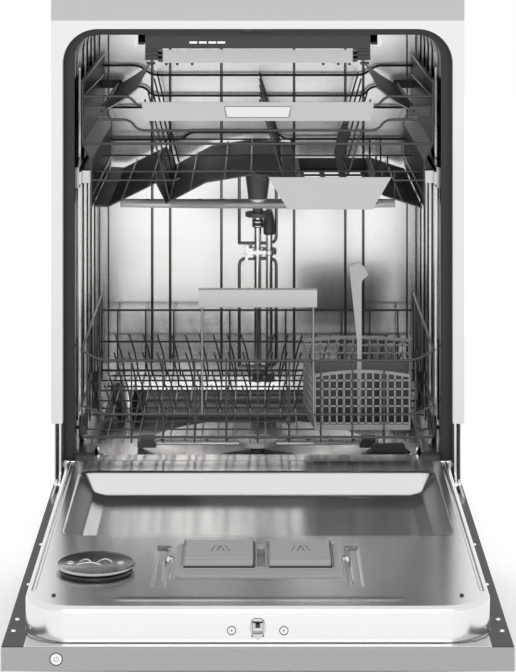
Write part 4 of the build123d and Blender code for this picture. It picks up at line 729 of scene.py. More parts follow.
class DISHWASHER_OT_lower_rack(bpy.types.Operator):
    """Give the lower rack its round wires, tines and the open-work cutlery basket"""
    bl_idname = "dishwasher.lower_rack"
    bl_label = "Lower rack"

    def execute(self, context):
        look = context.scene.dishwasher_rack
        size, thin, tine = look.lower_wire, look.thin_wire, look.tine
        ends, sides = lower_runs(size, thin)
        new_piece("lower_rack_end_wires", bar_run(ends), "wire", "rack_wire", "lower_rack", "lower_rack_ends")
        plates = []
        for side in (-1, 1):
            for y in (120, 420):
                x0, x1 = sorted((side * 255, side * 260))
                plates.append(block(x0, x1, y - 12, y + 12, 193.5, 227))
                plates.append(bar_run([([(side * 258, y, 202.3), (side * 266.8, y, 202.3)], 8, 4)], 20)[0])
        new_piece("lower_rack_side_wires", bar_run(sides) + plates, "wire", "rack_wire", "lower_rack",
                  "lower_rack_sides", crease=40)
        lengthwise = np.arange(-5, 6) * WIRE_PITCH
        halfway = (np.arange(-10, 10) + 0.5) * WIRE_PITCH / 2
        floor = [([(x, 49, 207), (x, 484, 207)], thin, 4) for x in lengthwise]
        under_basket = (64, 240)
        # The fine floor wires are made pale: painted highlight.
        fine = [([(x, 45, 210.3), (x, 484, 210.3)], 2.2, 4) for x in halfway
                if not under_basket[0] < x < under_basket[1]]
        fine += [([(x, 45, 210.3), (x, 45.2, 199.5)], 2.2, 2) for x in halfway]
        new_piece("lower_rack_fine_wires", bar_run(fine, 8), "wire_painted_highlight", "rack_wire", "lower_rack")
        floor += [([(-251, y, 210.5), (251, y, 210.5)], thin, 4) for y in (75, 165, 255, 325, 395, 466)]
        saddles = [block(x - 3, x + 3, y - 4.6, y + 4.6, 207, 214.5) for y, last in FOLDING_ROWS.values()
                   for x in (nearest(lengthwise, -227), nearest(lengthwise, last - 11))]
        places = (np.arange(-10, 10) + 0.5) * TINE_PITCH
        for y, height in FIXED_ROWS:
            floor.append(([(-238, y, 210.6), (238, y, 210.6)], tine, 4))
            floor += rack_tines(places, y, 210.6, height, tine, 1.2)
        new_piece("lower_rack_floor_wires", bar_run(floor) + saddles, "wire", "rack_wire", "lower_rack",
                  "lower_rack_floor", crease=40)
        for name, (y, last) in FOLDING_ROWS.items():
            row = [([(-238, y, 210.9), (last, y, 210.9)], tine, 4)]
            row += rack_tines([x for x in places if x < last - 4], y, 210.9, 54, tine, 1.2)
            new_piece(f"{name}_wires", bar_run(row), "wire", "rack_wire", name, name)
        basket()
        return {"FINISHED"}


class Lattice:
    """A basket wall between a left and a right foot, pierced in columns and rows, with a shaped top."""

    def __init__(self, left, right, low, top, columns, rows):
        self.left, self.right = np.array(left, float), np.array(right, float)
        self.low, self.top, self.columns, self.rows = low, top, columns, rows

    def point(self, part, z):
        """The point of the wall at a share of its width and a height."""
        x, y = self.left + (self.right - self.left) * part
        return x, y, z

    def shells(self, wall, strip):
        """Bars for the columns and rows, and a band along the bottom and the top."""
        across = np.append(self.right - self.left, 0.0)
        across /= np.linalg.norm(across)
        shells = []
        parts = np.linspace(0, 1, self.columns + 1)
        starts = [self.point(part, self.low) for part in parts]
        ends = [self.point(part, self.top(part)) for part in parts]
        shells.append(bars(starts, ends, across, strip, wall))
        for z in self.rows:
            shells.append(bars([self.point(0, z)], [self.point(1, z)], (0, 0, 1), strip, wall))
        brim = [self.point(part, self.top(part) - 2.2) for part in np.linspace(0, 1, 25)]
        shells.append(bars(brim[:-1], brim[1:], (0, 0, 1), 4.4, wall * 1.3))
        foot = [self.point(part, self.low + 3) for part in (0, 1)]
        shells.append(bars(foot[:1], foot[1:], (0, 0, 1), 8.0, wall * 1.1))
        return shells


def basket():
    """The cutlery basket: four pierced walls, the partitions and a floor darker than the walls as painted
    shade, and the stem it is lifted by.
    """
    low, y0, y1 = 213.5, 63.2, 190.8
    rows = [low + 9 + 12.6 * row for row in range(6)]
    wall, strip = 2.0, 2.3

    def front_top(part):
        return 301.0 - 26.0 * (part - 0.5) ** 2

    def rear_top(part):
        return 325.0 - 22.0 * (part - 0.5) ** 2

    def side_top(part):
        return 295.0 + 24.5 * max(0.0, (part - 0.25) / 0.75) ** 1.6

    front = Lattice((84.5, y0), (223.5, y0), low, front_top, 13, rows)
    rear = Lattice((70.5, y1), (233.5, y1), low, rear_top, 13, rows + [low + 85, low + 97])
    left = Lattice((84.5, y0), (70.5, y1), low, side_top, 10, rows)
    right = Lattice((223.5, y0), (233.5, y1), low, side_top, 10, rows)
    new_piece("basket_front", front.shells(wall, strip), "basket", "basket_plastic", "lower_rack",
              "cutlery_basket", smooth=False)
    walls = rear.shells(wall, strip) + left.shells(wall, strip) + right.shells(wall, strip)
    new_piece("basket_walls", walls, "basket", "basket_plastic", "lower_rack", smooth=False)
    corners = ((84, y0), (224, y0), (234, y1), (70, y1))
    floor = prism([(x, y, low - 0.4) for x, y in corners], (0, 0, 2.4))
    middle = (y0 + y1) / 2
    partition = ((77, low), (229, low), (229, 301), (153, 303), (77, 301))
    inside = [floor, prism([(x, middle, z) for x, z in partition], (0, 1.6, 0))]
    for x in (124.3, 179.7):
        divider = ((y0 + 1, low), (y1 - 1, low), (y1 - 1, 287), (y0 + 1, 278))
        inside.append(prism([(x, y, z) for y, z in divider], (1.6, 0, 0)))
    # The floor and partitions are darker than the walls: painted shade inside the basket.
    new_piece("basket_inside_painted_shade", inside, "basket_painted_shade", "basket_plastic", "lower_rack", smooth=False)
    outline = [(149, low + 1), (149, 330), (140, 415), (137.3, 443), (146, 447.3), (153.1, 447.6), (160, 441),
               (165.5, 430), (156.5, 421), (155.6, 414), (155.6, low + 1)]
    stem = np.array([(x, middle - 3, z) for x, z in outline])
    new_piece("basket_stem", [prism(stem, (0, 6, 0))], "handle", "basket_plastic", "lower_rack", smooth=False)


def oriented(points, faces, toward):
    """The shell, with its faces turned over if the first one looks away from a direction."""
    a, b, c = (np.asarray(points[index], float) for index in faces[0][:3])
    if np.dot(np.cross(b - a, c - a), toward) < 0:
        faces = [list(face)[::-1] for face in faces]
    return points, faces


def band(half, low, top, corner, y, width, proud):
    """A pressed rib that runs up one wall of the tub, over its ceiling and down the other wall."""
    path = rounded_path([(-half, 0, low), (-half, 0, top), (half, 0, top), (half, 0, low)], corner, 14)
    run = np.gradient(path, axis=0)
    run /= np.linalg.norm(run, axis=1)[:, None]
    inward = np.stack([run[:, 2], np.zeros(len(run)), -run[:, 0]], -1)
    half_width = width / 2
    steps = np.array([(-half_width, -0.2), (-half_width + proud, proud), (half_width - proud, proud),
                      (half_width, -0.2)])
    points = path[:, None, :] + inward[:, None, :] * steps[None, :, 1, None]
    points[:, :, 1] = y + steps[None, :, 0]
    return oriented(at(points.reshape(-1, 3)), grid_faces(len(path), 4).tolist(), (1, 0, 0))


def arch_line(half, y, low, top):
    """The corners of a line up the left, across the top and down the right, at one depth."""
    return [(-half, y, low), (-half, y, top), (half, y, top), (half, y, low)]


class DISHWASHER_OT_tub(bpy.types.Operator):
    """Add the tub's pressed ribs in dark steel as painted shade, the seal's bead, a sheet of painted shade on
    the pan's rear wall, the pipes' clamp, the salt cap and the spray arms
    """
    bl_idname = "dishwasher.tub"
    bl_label = "Tub"

    def execute(self, context):
        # The pressed ribs are given dark steel: painted shade along them.
        ribs = [band(269.5, 216, 802, 45, y, 9, 1.3) for y in (70, 110, 232, 318, 402, 486)]
        new_piece("tub_side_ribs_painted_shade", ribs, "rib", "tub_steel", "cabinet", crease=30)
        sills = [block(x0, x1, 43.1, 43.8, 175.2, 184.6) for x0, x1 in ((-270.5, -239), (239, 270.5))]
        new_piece("sill_corner_caps", sills, "jamb", "tub_steel", "cabinet", smooth=False)
        # The back wall's ribs and the loops round the pipes in dark steel: painted shade.
        new_piece("tub_back_ribs_painted_shade", bar_run(self.back_ribs(), 10), "rib", "tub_steel", "cabinet")
        beads = [(arch_line(268.6, 30.5, 177, 798.4), 2.6, 39), (arch_line(281.6, 34.6, 177, 807), 1.6, 50)]
        new_piece("seal_beads", bar_run(beads, 10), "jamb", "seal_rubber", "cabinet")
        # A dark sheet over the pan's rear wall: painted shade.
        new_piece("pan_rear_painted_shade", [self.pan_shade_sheet()], "pan_painted_shade", "tub_steel", "cabinet")
        self.pipes()
        self.salt_cap()
        self.arms()
        return {"FINISHED"}

    def back_ribs(self):
        """The back wall's upright ribs, its corner lines and the two loops that frame the pipes."""
        both = (-1, 1)
        runs = [([(side * x, 519.2, 214), (side * x, 519.2, 796)], 4.6, 4)
                for x in (60.6, 146, 176) for side in both]
        runs += [([(side * x, 519.6, 192), (side * x, 519.6, 770)], 3.0, 4)
                 for x in (249, 264) for side in both]
        for low, high in ((207, 386), (412, 576)):
            frame_line = arch_line(30.8, 518.8, low, high)
            runs.append((frame_line + frame_line[:1], 5.4, 12))
        return runs

    def pan_shade_sheet(self):
        """A dark sheet just off the pan's rear wall, 14 degrees off upright: painted shade. Its waves stand
        out by 1.4 sin((z - 138) / 2).
        """
        top, low, rear = 184.0, 138.0, 502.0
        height = np.linspace(170, 135.4, 17)
        wave = 0.6 + 1.4 * np.maximum(0, np.sin((height - low) * 0.5))
        y = rear - (top - height) * math.tan(math.radians(14)) - wave
        x = np.linspace(-212, 212, 12)
        rows = np.stack([np.broadcast_to(x, (17, 12)), np.broadcast_to(y[:, None], (17, 12)),
                         np.broadcast_to(height[:, None], (17, 12))], -1)
        return sheet_from(rows, 0.4, (0, 1, 0.1))

    def pipes(self):
        """The clamp that holds both pipes, with its wing screw, and bright rings on the pipes."""
        y = 508.0
        clamp = [turned([(6.0, 393.5), (8.6, 393.5), (8.6, 404), (6.0, 404)], (0, y, 0), sides=40),
                 turned([(6.0, 395), (8.4, 395), (8.4, 402.5), (6.0, 402.5)], (19, y, 0), sides=40),
                 block(-16, -8, 498.5, 501.5, 391, 406), block(-20, -15, 499.5, 500.7, 396, 412),
                 block(-21, -16, 499.5, 500.7, 386, 395), block(-9, 14, 499.5, 502, 396, 402)]
        rings = [turned([(9.0, z), (9.7, z + 0.8), (9.7, z + 2.4), (9.0, z + 3.2)], (x, y, 0), sides=40)
                 for x, z in ((0, 441), (0, 448), (19, 186), (0, 186))]
        new_piece("pipe_clamp", clamp + rings, "bright", "pipe_steel", "cabinet", crease=40)
        profile = [(8.3, 428), (9.4, 428.6), (9.6, 436), (9.0, 449), (7.2, 459), (5.0, 466.5), (0.01, 467)]
        cap = turned(profile, (19, y, 0), sides=40)
        new_piece("pipe_cap", [cap], "grey_plastic", "pipe_steel", "cabinet", crease=50)

    def salt_cap(self):
        """The salt container's cap: r = 31.6 + 1.2 cos(24 a) round its ribbed skirt, and a grip across it."""
        x, y, z = 196.5, 130.0, 152.0
        sides = 288
        angle = np.linspace(0, 2 * math.pi, sides, endpoint=False)
        ribbed = 31.6 + 1.2 * np.cos(24 * angle)
        radius = np.stack([ribbed, ribbed] + [np.full(sides, r) for r in (29.5, 24.0, 22.0, 0.5)])
        height = np.array([0.2, 11.5, 13.6, 13.9, 12.6, 12.4])[:, None] + 0 * angle
        points = np.stack([x + radius * np.cos(angle), y + radius * np.sin(angle), z + height], -1)
        skirt = oriented(at(points.reshape(-1, 3)), grid_faces(6, sides, False, True).tolist(), (1, 0, 0))
        outline = ((-27, 12.3), (-24, 22), (-19, 23.8), (19, 23.8), (24, 22), (27, 12.3))
        grip = prism([(x + dx, y - 4.5, z + dz) for dx, dz in outline], (0, 9, 0))
        new_piece("salt_cap_ribbed", [skirt, grip], "cap_grey", "dark_plastic", "cabinet", "salt_cap",
                  crease=30)

    def arms(self):
        """Both spray arms, by their reach, half widths at root and tip, heights and hub radius in mm."""
        self.arm("upper_spray_arm", 214.3, 19.0, 4.0, 510.3, 523.0, 15.0)
        self.arm("lower_spray_arm", 187.8, 11.0, 7.0, 141.0, 148.0, 31.0)
        tips = []
        for side in (-1, 1):
            x0, x1 = sorted((side * 158, side * 187))
            tips += [block(x0, x1, 252, 278, 138.0, 147.2), block(x0 + 4, x1 - 4, 250.5, 279.5, 140, 151.5)]
        new_piece("lower_arm_tips", tips, "grey_plastic", "arm_steel", "lower_spray_arm", smooth=False)

    def arm(self, name, reach, root, tip, low, high, centre):
        """A blade that narrows to its tips, a turned hub and a row of jets.

        The half width at x is w = root - (root - tip) |x / reach|^1.6, times sqrt(1 - (x / reach)^30) where
        that is over 0.02, so that the tips are round."""
        stations = 61
        share = np.sin(np.linspace(-math.pi / 2, math.pi / 2, stations))
        half = (root - (root - tip) * np.abs(share) ** 1.6) * np.sqrt(np.clip(1 - share ** 30, 0.02, 1))
        section = np.array([(-1.0, 0.30), (-0.93, 0.62), (-0.62, 0.9), (0, 1.0), (0.62, 0.9), (0.93, 0.62),
                            (1.0, 0.30), (0.8, 0.0), (0, 0.0), (-0.8, 0.0)])
        count = len(section)
        x = np.broadcast_to(reach * share[:, None], (stations, count))
        z = np.broadcast_to(low + (high - low) * section[:, 1], (stations, count))
        points = np.stack([x, ARM_AXIS + half[:, None] * section[:, 0], z], -1)
        verts, faces = oriented(at(points.reshape(-1, 3)), grid_faces(stations, count, False, True).tolist(),
                                (-1, 0, 0))
        last = (stations - 1) * count
        for first, outward in ((0, (-1, 0, 0)), (last, (1, 0, 0))):
            faces = faces + oriented(verts, [[first + k for k in range(count)]], outward)[1]
        hub = turned([(centre * 0.55, low - 1.0), (centre, low + 0.5), (centre, high + 1.0),
                      (centre * 0.8, high + 2.2), (8.4, high + 2.2)], (0, ARM_AXIS, 0), sides=64)
        new_piece(f"{name}_blade", [(verts, faces), hub], "arm_pale", "arm_steel", name, name, crease=40)
        shoulder = low + (high - low) * 0.93
        profile = [(2.4, shoulder), (2.4, shoulder + 1.2), (1.2, shoulder + 1.3), (1.2, shoulder - 1)]
        jets = [turned(profile, (side * part * reach, ARM_AXIS - 3, 0), sides=16)
                for side in (-1, 1) for part in (0.25, 0.42, 0.6, 0.8)]
        new_piece(f"{name}_jets", jets, "dark_plastic", "arm_steel", name)


def ease(start, end, t):
    """A smooth step from 0 at start to 1 at end: u = (t - start) / (end - start), 3 u^2 - 2 u^3."""
    u = np.clip((t - start) / (end - start), 0, 1)
    return u * u * (3 - 2 * u)


def pressing(x, y):
    """How far the liner's face is pressed in at X and Y, in mm.

    The wide hollow is 27.5 (1 - |(1-a, 1-b, 1-c)|_4), where a, b and c rise from 0 to 1 across its side, far
    and near slopes. Two channels follow the side edges, and two stepped grooves flank the dispenser."""
    side = np.abs(x)
    across = 0.86 * np.clip((252 - side) / 21, 0, 1) + 0.14 * np.clip((231 - side) / 16, 0, 1)
    far = np.clip((-60 - y) / 32, 0, 1)
    near = np.clip((y + 372) / 34, 0, 1)
    rest = (1 - across) ** 4 + (1 - far) ** 4 + (1 - near) ** 4
    hollow = 27.5 * np.clip(1 - rest ** 0.25, 0, 1)
    channel = 2.0 * ease(264.0, 265.8, side) * (1 - ease(269.2, 271.0, side)) * ease(-600, -590, y)
    along = ease(-582, -576, y) * (1 - ease(-425, -419, y))
    groove = 2.6 * ease(127, 125.5, side) * (1 - ease(115, 109, side)) * along
    step = 2.6 * ease(116, 114, side) * (1 - ease(107.5, 106, side))
    step = step * ease(-552, -546, y) * (1 - ease(-468, -462, y))
    rim = 0.5 * ease(-634, -631, y) * (1 - ease(-628, -625, y)) * (1 - ease(150, 180, side))
    return hollow + channel + groove + step + rim


def liner_skin():
    """The pressed inner door as one sheet: its face, the edge that rolls over, the walls and the far roll.

    The face's rows run from the far end to the near edge. Their half width is 270, and round the near corners
    219 + 51 cos t while Y runs on from -601 by 51 sin t. The walls stand 6 outside the face's edge, over a
    quarter circle, and the far roll is a quarter circle of 34."""
    turn = np.linspace(0, math.pi / 2, 15)
    straight = np.unique(np.concatenate([np.linspace(-5, -58, 12), np.linspace(-58, -90, 12),
                                         np.linspace(-90, -340, 60), np.linspace(-340, -375, 12),
                                         np.linspace(-375, -462, 24), np.linspace(-462, -543, 26),
                                         np.linspace(-543, -601, 28), TRAY_SPAN]))[:0:-1]
    y_rows = np.concatenate([straight, -601.0 - 51.0 * np.sin(turn)])
    half = np.concatenate([np.full(len(straight), 270.0), 219.0 + 51.0 * np.cos(turn)])
    places = np.concatenate([np.linspace(0, 99, 34), np.linspace(101, 130, 26), np.linspace(132, 210, 26),
                             np.linspace(212, 254, 28), np.linspace(256, 270, 18)])
    x = half[:, None] * np.unique(np.concatenate([-places, places])) / 270.0
    y = np.broadcast_to(y_rows[:, None], x.shape)
    face = np.stack([x, y, LINER_FACE - pressing(x, y)], -1)
    quads = grid_faces(*x.shape)[:, ::-1]
    middle = face.reshape(-1, 3)[quads].mean(1)
    on_vent = np.hypot(middle[:, 0] - VENT_CENTRE[0], middle[:, 1] - VENT_CENTRE[1]) < 37
    on_tray = (np.abs(middle[:, 0]) < 99) & (middle[:, 1] > TRAY_SPAN[0]) & (middle[:, 1] < TRAY_SPAN[1])
    skin = at(face.reshape(-1, 3)), quads[~(on_vent | on_tray)].tolist()
    return [skin, liner_wall(face, len(straight)), far_roll()]


def liner_wall(face, straight):
    """The wall round the face: out by 6 sin t and down by 6 - 6 cos t from its edge, then straight down."""
    edge = np.concatenate([face[:, 0], face[-1, 1:-1], face[::-1, -1]])
    turn = np.linspace(math.pi / 2, 0, 15)
    corner = np.stack([-np.sin(turn), -np.cos(turn)], -1)
    outward = np.concatenate([np.repeat([(-1.0, 0.0)], straight, 0), corner,
                              np.repeat([(0.0, -1.0)], face.shape[1] - 2, 0),
                              (corner * (-1, 1))[::-1], np.repeat([(1.0, 0.0)], straight, 0)])
    over = np.linspace(0, math.pi / 2, 7)
    push = np.concatenate([6 * np.sin(over), np.full(8, 6.0)])
    height = np.concatenate([LINER_FACE - 6 + 6 * np.cos(over), (169, 165, 160, 155, 149, 146, 143.5, 141.3)])
    wall = np.stack([edge[None, :, 0] + push[:, None] * outward[None, :, 0],
                     edge[None, :, 1] + push[:, None] * outward[None, :, 1],
                     np.broadcast_to(height[:, None], (len(push), len(edge)))], -1)
    quads = grid_faces(len(push), len(edge))[:, ::-1]
    middle = wall.reshape(-1, 3)[quads].mean(1)
    on_bolt = (np.abs(middle[:, 0]) < 8) & (middle[:, 1] < -650) & (middle[:, 2] > 149) & (middle[:, 2] < 169)
    return at(wall.reshape(-1, 3)), quads[~on_bolt].tolist()


def far_roll():
    """The far edge: a quarter circle of 34 about Y -5 and height 150, and a short tail below it."""
    sweep = np.linspace(0, math.pi / 2, 12)
    y = np.append(-5 + 34 * np.sin(sweep), 29.0)
    z = np.append(150 + 34 * np.cos(sweep), 141.3)
    shape = (len(y), 40)
    rows = np.stack([np.broadcast_to(np.linspace(-276, 276, 40), shape), np.broadcast_to(y[:, None], shape),
                     np.broadcast_to(z[:, None], shape)], -1)
    return sheet_from(rows, 1.2, (0, -0.3, -0.95))


def ring(radius, thick, centre, sides=48):
    """A round ring of wire, flat on the XZ plane at a point in mm."""
    angle = np.linspace(0, 2 * math.pi, sides, endpoint=False)
    tube = np.linspace(0, 2 * math.pi, 10, endpoint=False)
    r = radius + thick * np.cos(tube)[None, :]
    points = np.stack([r * np.cos(angle)[:, None], np.broadcast_to(-thick * np.sin(tube), (sides, 10)),
                       r * np.sin(angle)[:, None]], -1).reshape(-1, 3) + np.asarray(centre, float)
    return at(points), grid_faces(sides, 10, True, True).tolist()


def turned(profile, centre, axis="Z", sides=64):
    """A turned shape from (radius, height) pairs in mm, about an axis through a point in mm."""
    points, faces = lathe(profile, (0, 0, 0), axis, sides)
    return at(points + np.asarray(centre, float)), faces


class DISHWASHER_OT_door(bpy.types.Operator):
    """Press the liner and add the vent's disc, the dispenser's details and the door's small fittings"""
    bl_idname = "dishwasher.door"
    bl_label = "Door"

    def execute(self, context):
        new_piece("liner_skin", liner_skin(), "liner", "liner_steel", "door", "door_liner", crease=60)
        self.rim()
        self.latch()
        profile = [(0.01, 2.4), (1.6, 2.1), (2.6, 0.9), (2.8, -0.5)]
        bumpers = [turned(profile, (side * 241.5, -616, LINER_FACE), sides=24) for side in (-1, 1)]
        new_piece("liner_bumpers", bumpers, "dark_plastic", "seal_rubber", "door")
        self.vent()
        self.dispenser()
        self.button()
        return {"FINISHED"}

    def rim(self):
        """The flange round the liner, a line of painted shade at its foot, the door's dark rim and the screws.
        """
        flange = [block(-272, 272, -669.2, -600, DOOR_TOP, DOOR_TOP + 0.9)]
        new_piece("liner_flange", flange, "flange", "liner_steel", "door", smooth=False)
        # A thin dark bar in the crease where the liner meets the flange: painted shade.
        foot = [(-276.4, -62, 142.6), (-276.4, -658.6, 142.6), (276.4, -658.6, 142.6), (276.4, -62, 142.6)]
        new_piece("liner_foot_painted_shade", bar_run([(foot, 0.9, 57)], 8), "rib", "liner_steel", "door")
        caps = []
        for middle, half, y0, y1, rise in ((287.2, 10.3, -612, -60, 0.7), (284.8, 12.7, -669.2, -612, 1.0)):
            caps += [block(side * middle - half, side * middle + half, y0, y1, DOOR_TOP, DOOR_TOP + rise)
                     for side in (-1, 1)]
        new_piece("door_rim_caps", caps, "rim_dark", "door_dark", "door", smooth=False)
        head = [(0.01, 1.8), (1.8, 1.7), (2.9, 1.1), (3.1, 0.0)]
        heads = [turned(head, (side * x, y, 141.8), sides=24) for side in (-1, 1)
                 for x, y in ((289, -616), (288.6, -574), (288, -440), (288, -270))]
        new_piece("door_rim_screws", heads, "bright", "hinge_steel", "door")
        fixings = []
        for side in (-1, 1):
            centre = (side * 30.5, -658.3, 156.4)
            pip = turned([(0.01, -0.5), (0.9, -0.4), (1.0, 0.4)], centre, "Y", 16)
            fixings += [ring(4.9, 0.5, centre), pip]
        new_piece("near_face_screws", fixings, "cap_grey", "hinge_steel", "door")

    def latch(self):
        """The shield round the bolt's slot, the line that edges it, and the bolt with its slanted nose."""
        outline = np.array([(-4.6, 170.6), (4.6, 170.6), (8.2, 165), (9.0, 158.5), (6.0, 150.5), (0, 146.6),
                            (-6.0, 150.5), (-9.0, 158.5), (-8.2, 165)])
        hole = np.array([(-6.2, 167.6), (6.2, 167.6), (6.4, 165), (6.4, 158.5), (6.2, 152.7), (0, 152.5),
                         (-6.2, 152.7), (-6.4, 158.5), (-6.4, 165)])
        shield = []
        for k in range(len(outline)):
            after = (k + 1) % len(outline)
            quad = (outline[k], outline[after], hole[after], hole[k])
            shield.append(prism([(x, -659.2, z) for x, z in quad], (0, 1.4, 0)))
        new_piece("latch_shield", shield, "shield", "hinge_steel", "door", smooth=False)
        edge = [([(x, -658.9, z) for x, z in np.concatenate([outline, outline[:1]])], 0.5, 0.5)]
        new_piece("latch_lines", bar_run(edge, 8), "rim_dark", "dark_plastic", "door")
        half = 5.9
        nose = ((-658.9, 153.1), (-660.9, 157.2), (-660.9, 160.4), (-652, 160.4), (-652, 153.1))
        bolt = [prism([(-half, y, z) for y, z in nose], (2 * half, 0, 0)),
                block(-half, half, -657.5, -637.5, 153.1, 164.9)]
        new_piece("latch_bolt_nose", bolt, "shield", "hinge_steel", "latch_bolt", "latch_bolt", smooth=False)
        window = [block(-2.6, 2.6, -660.9, -657.6, 160.4, 164.9)]
        new_piece("latch_bolt_mark", window, "rim_dark", "hinge_steel", "latch_bolt", smooth=False)

    def vent(self):
        """The vent's disc with a rolled bright rim and a bare engraving of three short waves."""
        x, y = VENT_CENTRE
        top = 191.45
        profile = [(0.01, 191.3), (43.5, 191.3), (44.6, 191.7), (46.6, 192.0), (48.2, 191.6), (49.0, 190.6),
                   (48.4, 189.4), (46.0, 189.0), (0.01, 189.0)]
        disc = turned(profile, (x, y, 0), sides=96)
        stem = turned([(12, 164), (12, 189.2)], (x, y, 0), sides=40)
        new_piece("vent_disc", [disc, stem], "vent", "vent_steel", "door", "vent", crease=50)
        profile = [(37, 144), (37, 184), (44.9, 184.1), (45, 185.5), (34, 185.5), (34, 144)]
        duct = turned(profile, (x, y, 0), sides=72)
        new_piece("vent_duct", [duct], "jamb", "vent_steel", "door", crease=40)
        marks = []
        t = np.linspace(0, 1, 14)
        for left, right, low, swell in ((-20, -6, 4, 9.6), (2, 20, 3, 12.0), (-22, 6, -7, 7.8)):
            path = np.stack([x + left + (right - left) * t, y + low + swell * np.sin(np.pi * t),
                             np.full(14, top)], -1)
            marks.append((path, 1.3, 3))
        angle = np.linspace(0, 1.75 * math.pi, 16)
        for side in (-1, 1):
            path = np.stack([x + side * 31 + 3.6 * np.cos(angle), y + 3.6 * np.sin(angle),
                             np.full(16, top)], -1)
            marks.append((path, 1.1, 2))
        new_piece("vent_marks", bar_run(marks, 8), "bright", "vent_steel", "door")

    def dispenser(self):
        """Rounded lids with a rolled near edge, their frames, and bare strokes pressed in the lids."""
        profile = [(-418.0, 186.6), (-418.0, 190.4), (-421, 191.0), (-488, 191.0), (-497, 192.4),
                   (-503, 193.0), (-507.5, 192.4), (-510.3, 190.0), (-511.0, 186.6)]
        fine = rounded_path([(0, y, z) for y, z in profile], 2.5, 5)[:, 1:]
        for name, x0, x1 in (("detergent_lid", -90.0, -6.0), ("rinse_aid_lid", 15.0, 90.0)):
            shell = prism([(x0, y, z) for y, z in fine], (x1 - x0, 0, 0))
            barrel = bar_run([([(x0 + 0.2, -418, 189), (x1 - 0.2, -418, 189)], 5, 2),
                              ([(x0 - 3, -418, 189), (x1 + 3, -418, 189)], 2.4, 1)], 16)
            new_piece(f"{name}_shell", [shell] + barrel, "dispenser", "dispenser_grey", name, name, crease=35)
            middle = (x0 + x1) / 2
            strokes = [([(middle + dx, -462, 191.0), (middle + dx + lean, -440, 191.0)], 0.9, 2)
                       for dx, lean in ((-10, 4), (-3, 4), (6, -5), (13, -6))]
            new_piece(f"{name}_marks", bar_run(strokes, 8), "dark_plastic", "dispenser_grey", name)
        far, near, z = -420, -521, 186.4
        runs = [([(x0, far, z), (x0, near, z), (x1, near, z), (x1, far, z)], 2.4, 6)
                for x0, x1 in ((-95.0, -2.0), (10.5, 95.0))]
        new_piece("dispenser_frames", bar_run(runs, 10), "dispenser", "dispenser_grey", "door")
        shadow = [block(-91, -5, -516, -511.4, 186.0, 187.4), block(14, 91, -516, -511.4, 186.0, 187.4),
                  block(-5.6, -4.2, -513, -420, 186.0, 190), block(90.4, 91.6, -513, -420, 186.0, 190)]
        new_piece("dispenser_shadow_gap", shadow, "jamb", "dispenser_grey", "door", smooth=False)

    def button(self):
        """A dark ring round the power button and the usual standby sign on it."""
        x, y, z = centre = np.array((-234.0, -669.7, 127.0))
        new_piece("button_ring", [ring(7.2, 0.5, centre)], "jamb", "dark_plastic", "door")
        angle = np.radians(np.linspace(125, 415, 20))
        y -= 0.05
        arc = np.stack([x + 2.6 * np.cos(angle), np.full(20, y), z + 2.6 * np.sin(angle)], -1)
        sign = [(arc, 0.5, 1), ([(x, y, z + 0.4), (x, y, z + 3.6)], 0.5, 1)]
        new_piece("button_sign", bar_run(sign, 8), "grey_plastic", "button_white", "power_button")


class DISHWASHER_OT_trim(bpy.types.Operator):
    """Add the handles' bare plate and stems, the tray's clips and the painted light in its slots, and the
    small dark fittings
    """
    bl_idname = "dishwasher.trim"
    bl_label = "Trim"

    def execute(self, context):
        self.badge()
        self.lower_handle()
        self.tray_fittings()
        return {"FINISHED"}

    def badge(self):
        """A bare plate on the upper rack's handle and the line round it."""
        corners = ((-48.5, 691.2), (48.5, 691.2), (45, 676), (-45, 676))
        plate = prism([(x, 38.95, z) for x, z in corners], (0, 0.5, 0))
        new_piece("badge_plate", [plate], "plate", "handle_grey", "upper_rack", smooth=False)
        corners = ((-48.8, 691.6), (48.8, 691.6), (45.2, 675.6), (-45.2, 675.6), (-48.8, 691.6))
        line = [([(x, 38.8, z) for x, z in corners], 0.9, 1)]
        new_piece("badge_plate_edge", bar_run(line, 6), "grey_plastic", "handle_grey", "upper_rack")

    def lower_handle(self):
        """The two stems of the lower rack's handle and its rolled grip."""
        stem = ((44.5, 240), (44.5, 322), (45.6, 330), (45.6, 421))
        # The stems are made pale: painted highlight.
        stems = [([(side * 81.6, y, z) for y, z in stem], 2.8, 4) for side in (-1, 1)]
        new_piece("handle_stems", bar_run(stems, 10), "wire_painted_highlight", "rack_wire", "lower_rack")
        half = 86.9
        section = ((40.4, 397.5), (39.3, 401), (39.05, 410), (39.4, 419), (41.0, 423.0), (45, 423.9),
                   (50.6, 423.9), (50.6, 422.2), (44.4, 422.2), (42.0, 420), (41.8, 397.5))
        grip = prism([(-half, y, z) for y, z in section], (2 * half, 0, 0))
        new_piece("lower_rack_grip", [grip], "handle", "handle_grey", "lower_rack", "lower_rack_handle",
                  crease=30)

    def tray_fittings(self):
        """The cutlery tray's handle clips and nubs, and bright strips of painted light in the slots in its
        front.
        """
        clips, nubs = [], []
        for side in (-1, 1):
            for x0, x1, z0, z1 in ((140, 163, 768.6, 771.6), (140, 160, 762, 765.4), (139, 146, 757, 774),
                                   (150, 163, 753, 757)):
                low, high = sorted((side * x0, side * x1))
                clips.append(block(low, high, 39.2, 44, z0, z1))
            nubs += [turned([(0.01, 751.6), (1.6, 751.8), (2.2, 754.8)], (side * x, 42.5, 0), sides=14)
                     for x in (96, 118, 134)]
        new_piece("tray_handle_clips", clips, "tray_dark", "rack_black", "cutlery_tray", smooth=False)
        new_piece("tray_handle_nubs", nubs, "tray_dark", "rack_black", "cutlery_tray")
        # Bright strips in the tray's front: painted light seen through its slots.
        slots = [block(x, x + 11, 44.6, 45.2, 783.5, 786.2) for x in (-100, -86, -72, -59)]
        new_piece("tray_slots_painted_light", slots, "bright", "rack_black", "cutlery_tray", smooth=False)


